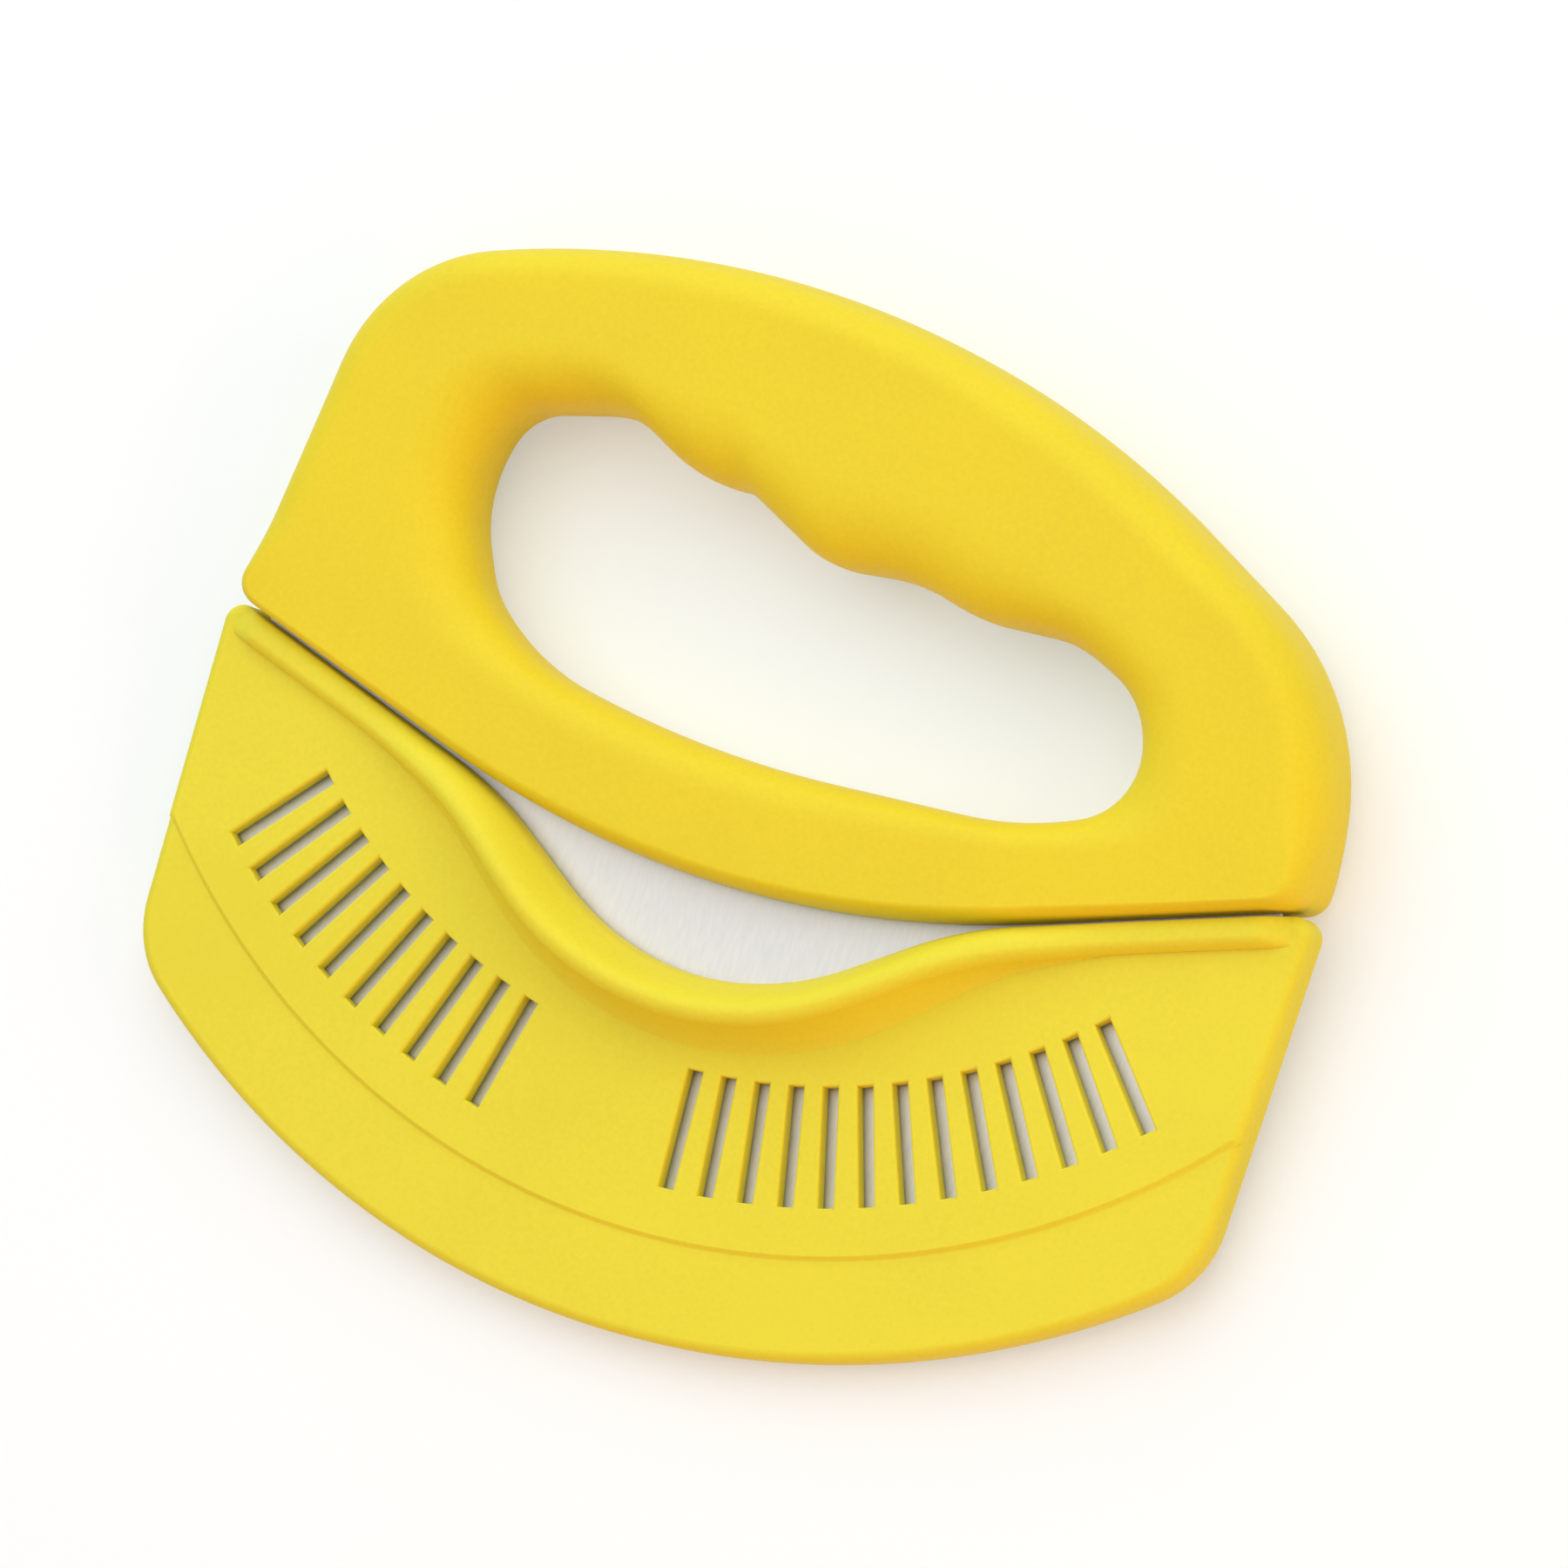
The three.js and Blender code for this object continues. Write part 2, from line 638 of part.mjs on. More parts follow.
function guardShells() {
  const frontLip = guardLip(1);
  const rearLip = guardLip(rearFlare).mirror([0, 0, 1]);
  const pocket = guardPocket();
  const blank = guardBlank();
  let front = blank.intersect(halfSpace(1)).subtract(bandCut()).add(frontLip).subtract(pocket);
  slotCuts().forEach((cut) => { front = front.subtract(cut); });
  const rear = blank.intersect(halfSpace(-1)).add(rearLip).subtract(pocket);
  return { front, rear };
}

// Assembly

const stations = ringStations();
const screws = screwPlaces(stations);
const guard = guardShells();

const flatTool = new THREE.Group();
flatTool.add(namedMesh('blade', blade(screws), bladeSteel));
flatTool.add(namedMesh('handle_front_shell', handleFront(stations, screws), handlePlastic));
flatTool.add(namedMesh('handle_rear_shell', handleRear(stations, screws), handlePlastic));
screws.forEach((screw, i) => {
  flatTool.add(namedMesh(`handle_screw_${i + 1}`, handleScrew(screw.at), screwSteel));
});
flatTool.add(namedMesh('guard_front_shell', guard.front, guardPlastic));
flatTool.add(namedMesh('guard_rear_shell', guard.rear, guardPlastic));

// Laid on its back, with the middle of its footprint on the surface at the origin
flatTool.rotation.x = restAngle;
const lying = new THREE.Box3().setFromObject(flatTool, true);
const middle = lying.getCenter(new THREE.Vector3());
flatTool.position.set(-middle.x, -middle.y, -lying.min.z);

const cutter = new THREE.Group();
cutter.name = 'rocker_pizza_cutter';
cutter.add(flatTool);

export default cutter;
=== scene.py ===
"""Rocker pizza cutter: a curved steel blade in a ring handle, with a slide-on blade guard.

The shapes are drawn flat in metres, X across, Y from the blade's edge to the grip and Z to the
front face, with the blade in the plane z = 0 and the middle of the handle's lower edge at y = 0.
Each finished piece is then laid on its back, where the frame's blade lies.
"""

import json
import math

import bmesh
import bpy
from bpy.props import FloatProperty, FloatVectorProperty, IntProperty, PointerProperty
from mathutils import Matrix, Vector


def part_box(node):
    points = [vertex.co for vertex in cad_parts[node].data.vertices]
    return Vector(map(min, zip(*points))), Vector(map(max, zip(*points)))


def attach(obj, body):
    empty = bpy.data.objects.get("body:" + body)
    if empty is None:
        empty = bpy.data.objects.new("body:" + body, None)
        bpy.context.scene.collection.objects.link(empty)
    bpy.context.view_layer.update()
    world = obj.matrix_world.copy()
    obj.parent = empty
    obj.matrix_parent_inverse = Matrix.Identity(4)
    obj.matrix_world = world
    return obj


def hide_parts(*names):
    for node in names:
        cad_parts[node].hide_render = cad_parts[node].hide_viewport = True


bl_info = {
    "name": "Rocker Pizza Cutter",
    "version": (1, 0, 0),
    "blender": (4, 5, 0),
    "location": "View3D > Sidebar > Cutter",
    "description": "Builds a rocker pizza cutter with a ring handle and a slide-on blade guard",
    "category": "Add Mesh",
}

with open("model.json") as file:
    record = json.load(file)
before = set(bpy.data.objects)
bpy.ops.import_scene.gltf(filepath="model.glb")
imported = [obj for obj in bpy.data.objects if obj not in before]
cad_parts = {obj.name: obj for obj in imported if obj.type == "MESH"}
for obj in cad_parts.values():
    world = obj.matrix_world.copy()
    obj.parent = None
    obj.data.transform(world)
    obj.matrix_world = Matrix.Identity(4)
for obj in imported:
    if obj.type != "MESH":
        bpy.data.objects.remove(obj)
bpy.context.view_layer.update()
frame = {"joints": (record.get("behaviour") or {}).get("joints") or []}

# Gaps between pieces, reach of cutters past a face, and distances too small to see
MM = 0.001
CLEARANCE = 0.3 * MM
OVERSHOOT = 5 * MM
HAIR = 0.03 * MM
WELD = 1e-6

# Fineness of curves, and the angle past which an edge stays sharp
ARC_STEP = 1.3 * MM
ARC_TURN = math.radians(7)
ROUND_STEPS = 5
SECTION_STEPS = 16
VAULT_STEPS = 4
LIP_STEPS = 9
BAND_STEPS = 8
SLOT_STEPS = 6
PEG_SIDES = 48
SPIN_STEPS = 240
SHARP_ANGLE = math.radians(32)

# Width of the camera's sensor in millimetres
SENSOR_WIDTH = 36

# The guard slides along the blade, so its joint says how far the tool tilts as it lies
SLIDE_AXIS = Vector(frame["joints"][0]["axis"])
REST_ANGLE = math.asin(-SLIDE_AXIS.z)

# Finger opening in millimetres, counter-clockwise from its lower left, as x, y and radius
OPENING_CORNERS = [
    (-39.7, 23.1, 37), (-8.7, 17.4, 179), (41.7, 20.1, 50), (59.5, 27.4, 10.5), (54.2, 42.4, 12.4),
    (41.7, 47.9, 23), (26.2, 47.1, 21), (14.5, 50, 31), (0.9, 48.5, 14), (-13.6, 55.7, 7.5),
    (-22.3, 55.5, 20), (-35.3, 62.4, 16.5), (-54.3, 57.9, 8.8), (-57.2, 44.4, 20.5), (-50.3, 31.3, 16.4),
]
# Places in that list of the corners that face the outline's lower middle, right foot, right
# shoulder, crown, left shoulder and left foot, and the stations of each stretch between them
FACING = [1, 3, 4, 8, 12, 14]
STRETCH_STATIONS = [48, 48, 96, 96, 48, 48]
RIGHT_FOOT, RIGHT_SHOULDER, CROWN, LEFT_SHOULDER, LEFT_FOOT = 1, 2, 3, 4, 5
FOOT_CROWDING = 1.6


def size(name, description, millimetres):
    """Length that a user can change."""
    default = millimetres * MM
    return FloatProperty(name=name, description=description, default=default, unit="LENGTH", precision=5)


def turn(name, description, degrees):
    """Angle that a user can change."""
    default = math.radians(degrees)
    return FloatProperty(name=name, description=description, default=default, unit="ROTATION")


def triple(name, description, *millimetres):
    """Three lengths: a place, or a rounded corner of an outline as x, y and radius."""
    default = [value * MM for value in millimetres]
    return FloatVectorProperty(
        name=name, description=description, default=default, unit="LENGTH", precision=5
    )


def tint(name, description, *linear):
    """Colour that a user can change."""
    return FloatVectorProperty(
        name=name, description=description, default=linear, subtype="COLOR", min=0, max=1
    )


def factor(name, description, value, unit="NONE"):
    """Share or strength that a user can change."""
    return FloatProperty(name=name, description=description, default=value, min=0, unit=unit)


def copies(name, description, value):
    """Number of like shapes that a user can change."""
    return IntProperty(name=name, description=description, default=value, min=1)


class HandleSettings(bpy.types.PropertyGroup):
    """Sizes and colour of the ring handle."""

    lower_radius: size("Lower arc", "Radius of the arc along the lower edge", 155)
    lower_slope: turn("Lower slope", "Rise of the straight ends of the lower edge", 18)
    foot_half: size("Foot half width", "Half the width at the lower corners", 87.3)
    foot_radius: size("Foot radius", "Radius of the lower corners", 4)
    right_shoulder: triple("Right shoulder", "Corner of the outline", 90, 48.9, 38.8)
    crown: triple("Crown", "Corner of the outline over the grip", -1.7, 99.4, 149)
    left_shoulder: triple("Left shoulder", "Corner of the outline", -79.6, 74.4, 27)
    wall: size("Wall", "Wall of the moulded shells", 2.5)
    parting_land: size("Parting land", "Half height of the upright band at the parting line", 0.8)
    parting_gap: size("Parting gap", "Gap between the two shells", 0.05)
    parting_round: size("Parting round", "Small bevel at the parting line", 0.05)
    outer_round: size("Outer rounding", "Width of the rounding along the outside", 7)
    lower_round: size("Lower rounding", "Width of the rounding along the lower edge", 2.4)
    opening_round: size("Opening rounding", "Width of the rounding into the opening", 12)
    foot_blend: size("Foot blend", "Height over which the lower rounding grows", 14)
    round_share: factor("Rounding share", "Most of the bar's width that a rounding takes", 0.38)
    round_power: factor("Rounding power", "Exponent of the roundings; 2 makes them elliptical", 2.4)
    colour: tint("Colour", "Moulded plastic", 0.88, 0.73, 0.031)


class BladeSettings(bpy.types.PropertyGroup):
    """Sizes and colour of the blade."""

    thickness: size("Thickness", "Thickness of the sheet", 1.2)
    grind_width: size("Grind", "Width of the ground band along the edge", 7)
    edge_thickness: size("Edge", "Thickness left at the edge", 0.3)
    tang_height: size("Tang", "Height of the tang in the handle", 13)
    tang_shoulder: size("Tang shoulder", "Height of the sides above the handle's lower edge", 2.4)
    tang_setback: size("Tang setback", "Distance of the shoulders from the handle's sides", 4.5)
    tang_inset: size("Tang inset", "Step from the sides to the tang", 6)
    tang_radius: size("Tang radius", "Radius of the tang's corners", 3)
    colour: tint("Colour", "Satin stainless steel", 0.75, 0.755, 0.785)


class ScrewSettings(bpy.types.PropertyGroup):
    """Sizes and colour of the handle screws."""

    head_diameter: size("Head", "Diameter of the pan head", 6)
    head_height: size("Head height", "Height of the pan head", 2.2)
    shank_diameter: size("Shank", "Diameter of the shank", 2.8)
    length: size("Length", "Length under the head", 10)
    tip_length: size("Tip", "Length of the point", 1.5)
    drive_width: size("Drive width", "Width of the cross recess", 0.9)
    drive_length: size("Drive length", "Length of the cross recess", 3.4)
    drive_depth: size("Drive depth", "Depth of the cross recess", 1.2)
    seat: size("Seat", "Depth of the head's seat behind the blade", 4.5)
    boss_wall: size("Boss wall", "Wall round the counterbores and sockets", 1.4)
    spigot_reach: size("Spigot reach", "Length of the front bosses past the blade", 2.1)
    spigot_wall: size("Spigot wall", "Wall round the pilot holes", 1)
    tang_share: factor("Tang share", "Place of the outer tang screws in the foot's half width", 2 / 3)
    tang_rise: size("Tang rise", "Height of the tang screws above the lower edge", 7.4)
    rim_round: size("Rim", "Bevel at the mouth of the counterbores", 0.5)
    colour: tint("Colour", "Zinc-plated steel", 0.46, 0.47, 0.48)


class GuardSettings(bpy.types.PropertyGroup):
    """Sizes and colour of the blade guard."""

    top_half: size("Top half width", "Half the width at the top corners", 89.3)
    foot_half: size("Foot half width", "Half the width at the lower corners", 88.1)
    drop: size("Drop", "Depth of the arc's lowest point", 66.4)
    arc_radius: size("Arc", "Radius of the lower arc", 134.6)
    corner_radius: size("Lower corners", "Radius of the lower corners", 16)
    top_radius: size("Top corners", "Radius of the top corners", 2.8)
    gap: size("Gap", "Gap to the handle's lower edge", 0.7)
    dip_depth: size("Dip", "Depth of the dip in the top edge", 13.6)
    dip_radius: size("Dip radius", "Radius of the dip", 42)
    dip_slope: turn("Dip slope", "Slope of the dip's sides", 34)
    brow_radius: size("Brow radius", "Radius where the dip leaves the straight ends", 60)
    face_wall: size("Face wall", "Wall of the faces", 2.4)
    rim_wall: size("Rim wall", "Wall round the edge", 2.6)
    play: size("Play", "Room round the blade", 0.6)
    edge_round: size("Edge rounding", "Radius along the outer edges", 1.6)
    band_width: size("Band", "Width of the recessed band along the arc", 15.3)
    band_depth: size("Band depth", "Depth of the recessed band", 0.6)
    step_width: size("Step width", "Width of the soft step down to the band", 1.1)
    rib_width: size("Rib width", "Width of the grip ribs inside", 1.2)
    rib_length: size("Rib length", "Length of the grip ribs inside", 26)
    rib_inset: size("Rib inset", "Distance of the outer ribs from the blade's sides", 3.5)
    lip_width: size("Lip", "Width of the lip along the top edge", 4.6)
    lip_height: size("Lip height", "Height of the lip over the face", 2.4)
    lip_crest: size("Lip crest", "Distance of the crest from the top edge", 2.9)
    lip_brim: size("Lip brim", "Height of the lip's edge over the face", 0.8)
    lip_end: size("Lip end", "Length over which the lip sinks at its ends", 5)
    bead_width: size("Bead width", "Extra width of the lip in the dip", 2.3)
    bead_height: size("Bead height", "Extra height of the lip in the dip", 6)
    bead_crest: size("Bead crest", "Extra distance of the crest in the dip", 2)
    flare_width: size("Flare width", "Width of the hollow slope under the lip in the dip", 7)
    flare_height: size("Flare height", "Height of the hollow slope under the lip in the dip", 6.8)
    flare_sink: size("Flare sink", "Depth under the face at which the hollow slope would level out", 1.2)
    flare_inner: size("Flare inside", "Half width of the full flare", 22)
    flare_outer: size("Flare outside", "Half width at which the flare ends", 64)
    rear_flare: factor("Rear flare", "Share of the flare on the back, which lies flat", 0.05)
    slot_width: size("Slot width", "Width of the drying slots", 2.4)
    slot_length: size("Slot length", "Length of the drying slots", 17.5)
    slot_inset: size("Slot inset", "Distance of the slots from the arc", 22)
    slot_round: size("Slot rounding", "Radius at the slots' rims", 0.45)
    slot_pitch: turn("Slot pitch", "Angle between two slots", 3.2)
    left_slots_angle: turn("Left slots", "Angle of the left group's middle", 28.4)
    left_slot_count: copies("Left count", "Slots in the left group", 10)
    right_slots_angle: turn("Right slots", "Angle of the right group's middle", 22.3)
    right_slot_count: copies("Right count", "Slots in the right group", 13)
    colour: tint("Colour", "Moulded plastic", 0.86, 0.785, 0.049)


class StageSettings(bpy.types.PropertyGroup):
    """Floor, lamps and camera."""

    floor_size: size("Floor", "Side of the floor", 8000)
    floor_colour: tint("Floor colour", "Pale floor", 0.64, 0.69, 0.71)
    floor_glow: factor("Floor glow", "White added to the floor for the camera", 0.37)
    world_strength: factor("World", "Strength of the even light", 0.36)
    key_power: factor("Key lamp", "Power of the large lamp at the top", 23, "POWER")
    key_side: size("Key side", "Side of the large lamp", 2400)
    key_place: triple("Key place", "Place of the large lamp", -480, 740, 1170)
    side_power: factor("Side lamp", "Power of the soft lamp at the right", 5.5, "POWER")
    side_place: triple("Side place", "Place of the soft lamp at the right", 1150, 400, 500)
    side_colour: tint("Side colour", "Warm light from the right", 1, 0.7, 0.4)
    low_power: factor("Low lamp", "Power of the low lamp in front", 6.5, "POWER")
    low_place: triple("Low place", "Place of the low lamp in front", 560, -1120, 350)
    low_colour: tint("Low colour", "Warm light from low in front", 1, 0.3, 0.06)
    fill_side: size("Fill side", "Side of the two warm lamps", 800)
    camera_turn: FloatVectorProperty(
        name="Camera turn",
        description="Turns of the flat tool before the camera, about X, Y and Z",
        default=[math.radians(angle) for angle in (-8.02, -22.14, -15.32)],
        unit="ROTATION",
    )
    camera_shift: triple("Camera shift", "Place of the flat tool before the camera", -8.1, -14.84, -1500)
    lens: factor("Lens", "Focal length of the camera", 238.11, "CAMERA")


# Flat outlines


def arc(centre, radius, start, sweep, steps=None):
    """Points of an arc; enough of them for a smooth edge unless a count is given."""
    if steps is None:
        steps = max(2, math.ceil(abs(sweep) / min(ARC_TURN, ARC_STEP / radius)))
    angles = [start + sweep * i / steps for i in range(steps + 1)]
    return [centre + radius * Vector((math.cos(a), math.sin(a))) for a in angles]


def corner_arc(before, at, after, steps=None):
    """Arc that rounds the corner (x, y, radius) between two neighbours."""
    point = Vector(at[:2])
    radius = at[2]
    into = (point - Vector(before[:2])).normalized()
    out = (Vector(after[:2]) - point).normalized()
    sweep = math.atan2(into.cross(out), into.dot(out))
    start = point - into * radius * math.tan(abs(sweep) / 2)
    centre = start + Vector((-into.y, into.x)) * math.copysign(radius, sweep)
    spoke = start - centre
    return arc(centre, radius, math.atan2(spoke.y, spoke.x), sweep, steps)


def rounded_loop(corners):
    """One list of points for each rounded corner of a closed polygon."""
    after = corners[1:] + corners[:1]
    before = corners[-1:] + corners[:-1]
    return [corner_arc(*three) for three in zip(before, corners, after)]


def rounded_chain(corners, steps=None):
    """Points of an open chain whose inner corners are rounded."""
    points = [Vector(corners[0][:2])]
    for three in zip(corners, corners[1:], corners[2:]):
        points += corner_arc(*three, steps)
    return points + [Vector(corners[-1][:2])]


def points_at_shares(points, shares):
    """Places along a polyline at the given shares of its length."""
    lengths = [0.0]
    for a, b in zip(points, points[1:]):
        lengths.append(lengths[-1] + (b - a).length)
    places = []
    i = 1
    for share in shares:
        along = share * lengths[-1]
        while i < len(points) - 1 and lengths[i] < along:
            i += 1
        part = (along - lengths[i - 1]) / (lengths[i] - lengths[i - 1])
        places.append(points[i - 1].lerp(points[i], part))
    return places


def rectangle(middle, wide, long):
    """Corners of a rectangle round its middle."""
    signs = ((-1, -1), (1, -1), (1, 1), (-1, 1))
    return [middle + Vector((x * wide / 2, y * long / 2)) for x, y in signs]


def smooth(value, low, high):
    """Soft step from 0 at low to 1 at high."""
    part = min(max((value - low) / (high - low), 0), 1)
    return part * part * (3 - 2 * part)


class Plan:
    """Outlines that the handle, the blade and the guard share."""

    def __init__(self, scene):
        self.handle = scene.cutter_handle
        self.blade = scene.cutter_blade
        self.guard = scene.cutter_guard
        self.screw = scene.cutter_screw
        guard = self.guard
        handle = self.handle
        self.seam = handle.parting_gap / 2
        self.lower_vertex = -handle.lower_radius * (1 / math.cos(handle.lower_slope) - 1)
        self.blade_half = self.blade.thickness / 2
        self.cavity_half = self.blade_half + guard.play
        self.guard_half = self.cavity_half + guard.face_wall
        self.blade_inset = guard.rim_wall + guard.play
        self.arc_centre = Vector((0, guard.arc_radius - guard.drop))
        self.corner_x = guard.foot_half - guard.corner_radius
        reach = guard.arc_radius - guard.corner_radius
        self.corner_y = self.arc_centre.y - math.sqrt(reach**2 - self.corner_x**2)
        self.arc_half = math.asin(self.corner_x / reach)
        self.end_height = self.end_line(guard.top_half, -guard.gap)
        self.side_lean = math.atan2(guard.top_half - guard.foot_half, self.end_height - self.corner_y)

    def end_line(self, x, rise=0):
        """Height of the handle's straight lower ends, carried to any x."""
        slope = self.handle.lower_slope
        return self.lower_vertex + abs(x) * math.tan(slope) + rise / math.cos(slope)

    def lower_edge(self, x, rise=0):
        """Height of the handle's lower edge, or of a line a rise above it."""
        radius = self.handle.lower_radius - rise
        if abs(x) >= radius * math.sin(self.handle.lower_slope):
            return self.end_line(x, rise)
        return self.handle.lower_radius - math.sqrt(radius**2 - x**2)

    def face_height(self, y):
        """Half thickness of the handle's faces, which taper so that its back lies flat."""
        guard = self.guard
        return self.guard_half + (y + guard.drop - guard.edge_round) * math.tan(REST_ANGLE)

    def lower_outline(self, inset):
        """Guard's edge from upper left, round the arc, to upper right, drawn in by the inset."""
        guard = self.guard
        down = -math.pi / 2
        corner_sweep = math.pi / 2 - self.arc_half - self.side_lean
        radius = guard.corner_radius - inset
        left = Vector((-self.corner_x, self.corner_y))
        right = Vector((self.corner_x, self.corner_y))
        return (
            arc(left, radius, math.pi + self.side_lean, corner_sweep)
            + arc(self.arc_centre, guard.arc_radius - inset, down - self.arc_half, 2 * self.arc_half)[1:]
            + arc(right, radius, down + self.arc_half, corner_sweep)[1:]
        )

    def side_half(self, y, inset):
        """Half width of the guard's side line at a height, drawn in by the inset."""
        lean = self.side_lean
        return self.guard.foot_half + (y - self.corner_y) * math.tan(lean) - inset / math.cos(lean)

    def top_corners(self, end_x, end_radius, inset=0):
        """Corners of the guard's top edge from right to left, drawn in by the inset."""
        guard = self.guard
        gap = -guard.gap - inset
        dip = guard.dip_radius + inset
        brow = guard.brow_radius - inset
        dip_y = -guard.dip_depth - inset - dip * (1 / math.cos(guard.dip_slope) - 1)
        slopes = math.tan(guard.dip_slope) - math.tan(self.handle.lower_slope)
        brow_x = (self.end_line(0, gap) - dip_y) / slopes
        brow_y = self.end_line(brow_x, gap)
        end_y = self.end_line(end_x, gap)
        return [
            (end_x, end_y, end_radius), (brow_x, brow_y, brow), (0, dip_y, dip),
            (-brow_x, brow_y, brow), (-end_x, end_y, end_radius),
        ]

    def guard_outline(self, inset=0):
        """Closed outline of the guard, drawn in by the inset."""
        guard = self.guard
        lower = self.lower_outline(inset)
        ends = self.top_corners(guard.top_half - inset, guard.top_radius - inset, inset)
        return lower + rounded_chain([lower[-1], *ends, lower[0]])[1:-1]

    def blade_outline(self, grow):
        """Closed outline of the blade and its tang, grown on every side."""
        blade = self.blade
        shoulder_x = self.handle.foot_half - blade.tang_setback + grow
        tang_x = shoulder_x - blade.tang_inset
        shoulder_y = self.end_line(shoulder_x, blade.tang_shoulder + grow)
        tang_y = self.end_line(tang_x, blade.tang_height + grow)
        middle_y = self.end_line(0, blade.tang_height + grow)
        lower = self.lower_outline(self.blade_inset - grow)
        upper = rounded_chain([
            lower[-1], (shoulder_x, shoulder_y, blade.tang_radius), (tang_x, tang_y, blade.tang_radius),
            (0, middle_y, self.handle.lower_radius - blade.tang_height - grow),
            (-tang_x, tang_y, blade.tang_radius), (-shoulder_x, shoulder_y, blade.tang_radius), lower[0],
        ])
        return lower + upper[1:-1]

    def ring_stations(self):
        """Pairs of points, outline and opening, round the handle; they crowd towards the feet."""
        handle = self.handle
        foot_y = self.end_line(handle.foot_half)
        outline = rounded_loop([
            (0, self.lower_vertex, handle.lower_radius), (handle.foot_half, foot_y, handle.foot_radius),
            tuple(handle.right_shoulder), tuple(handle.crown), tuple(handle.left_shoulder),
            (-handle.foot_half, foot_y, handle.foot_radius),
        ])
        opening = rounded_loop([tuple(value * MM for value in at) for at in OPENING_CORNERS])
        pairs = []
        for i, count in enumerate(STRETCH_STATIONS):
            after = (i + 1) % len(STRETCH_STATIONS)
            shares = [k / count for k in range(count)]
            if i in (RIGHT_FOOT, LEFT_FOOT):
                shares = [share**FOOT_CROWDING for share in shares]
            elif after in (RIGHT_FOOT, LEFT_FOOT):
                shares = [1 - (1 - share) ** FOOT_CROWDING for share in shares]
            outer = points_at_shares(stretch(outline, i, after), shares)
            inner = points_at_shares(stretch(opening, FACING[i], FACING[after]), shares)
            pairs += zip(outer, inner)
        return pairs

    def screw_places(self):
        """Places of the screws: three through the tang, then three in the ring above."""
        spread = self.handle.foot_half * self.screw.tang_share
        tang = [Vector((x, self.lower_edge(x, self.screw.tang_rise))) for x in (-spread, 0, spread)]
        stations = self.ring_stations()
        starts = [sum(STRETCH_STATIONS[:i]) for i in (RIGHT_SHOULDER, CROWN, LEFT_SHOULDER)]
        return tang, [stations[start][0].lerp(stations[start][1], 0.5) for start in starts]

    def lay_down(self):
        """Matrix that lays the flat drawing where the frame's blade lies."""
        low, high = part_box("blade")
        tilt = Matrix.Rotation(REST_ANGLE, 4, "X")
        edge_y = self.blade_inset - self.guard.drop
        front = tilt @ Vector((0, edge_y, self.blade.edge_thickness / 2))
        back = tilt @ Vector((0, edge_y, -self.blade.edge_thickness / 2))
        return Matrix.Translation(((low.x + high.x) / 2, low.y - front.y, low.z - back.z)) @ tilt


def stretch(loop, first, second):
    """Points of a rounded loop from the middle of one corner to the middle of another."""
    points = loop[first][len(loop[first]) // 2:]
    i = (first + 1) % len(loop)
    while i != second:
        points = points + loop[i]
        i = (i + 1) % len(loop)
    return points + loop[second][:len(loop[second]) // 2 + 1]


# Solids


def solid(bm):
    """Object that holds a closed bmesh, with its faces turned outwards."""
    bmesh.ops.remove_doubles(bm, verts=bm.verts, dist=WELD)
    bmesh.ops.recalc_face_normals(bm, faces=bm.faces)
    mesh = bpy.data.meshes.new("solid")
    bm.to_mesh(mesh)
    bm.free()
    body = bpy.data.objects.new("solid", mesh)
    bpy.context.scene.collection.objects.link(body)
    return body


def combine(body, operation, tool):
    """Joins a solid with another, cuts it by it or keeps what they share; the other is used up."""
    modifier = body.modifiers.new(operation, "BOOLEAN")
    modifier.operation = operation
    modifier.solver = "EXACT"
    modifier.object = tool
    depsgraph = bpy.context.evaluated_depsgraph_get()
    result = bpy.data.meshes.new_from_object(body.evaluated_get(depsgraph))
    body.modifiers.clear()
    spent = [body.data, tool.data]
    body.data = result
    bpy.data.objects.remove(tool)
    for mesh in spent:
        bpy.data.meshes.remove(mesh)


def add_prism(bm, points, bottom, top, rounding=0):
    """Upright prism over an outline; its upper edge can be rounded."""
    face = bm.faces.new([bm.verts.new((point.x, point.y, bottom)) for point in points])
    raised = bmesh.ops.extrude_face_region(bm, geom=[face])["geom"]
    verts = [item for item in raised if isinstance(item, bmesh.types.BMVert)]
    bmesh.ops.translate(bm, verts=verts, vec=(0, 0, top - bottom))
    if rounding:
        upper = set(verts)
        rim = [edge for edge in bm.edges if set(edge.verts) <= upper]
        bmesh.ops.recalc_face_normals(bm, faces=bm.faces)
        bmesh.ops.bevel(
            bm, geom=rim, offset=rounding, offset_type="OFFSET", segments=ROUND_STEPS, profile=0.5,
            affect="EDGES", material=-1, clamp_overlap=True,
        )


def prism(points, bottom, top, rounding=0):
    """Solid of one prism."""
    bm = bmesh.new()
    add_prism(bm, points, bottom, top, rounding)
    return solid(bm)


def pegs(places, diameter, span):
    """Solid of upright pegs; span gives each one's two heights."""
    bm = bmesh.new()
    for place in places:
        low, high = sorted(span(place))
        middle = Matrix.Translation((place.x, place.y, (low + high) / 2))
        bmesh.ops.create_cone(
            bm, cap_ends=True, segments=PEG_SIDES, radius1=diameter / 2, radius2=diameter / 2,
            depth=high - low, matrix=middle,
        )
    return solid(bm)


def add_spin(bm, profile, steps=SPIN_STEPS):
    """Turns a closed profile of radius and height about the upright axis; returns its vertices."""
    verts = [bm.verts.new((radius, 0, z)) for radius, z in profile]
    edges = [bm.edges.new(pair) for pair in zip(verts, verts[1:])]
    before = set(bm.verts) - set(verts)
    bmesh.ops.spin(
        bm, geom=verts + edges, cent=(0, 0, 0), axis=(0, 0, 1), angle=math.tau, steps=steps, use_merge=True
    )
    return [vert for vert in bm.verts if vert not in before]


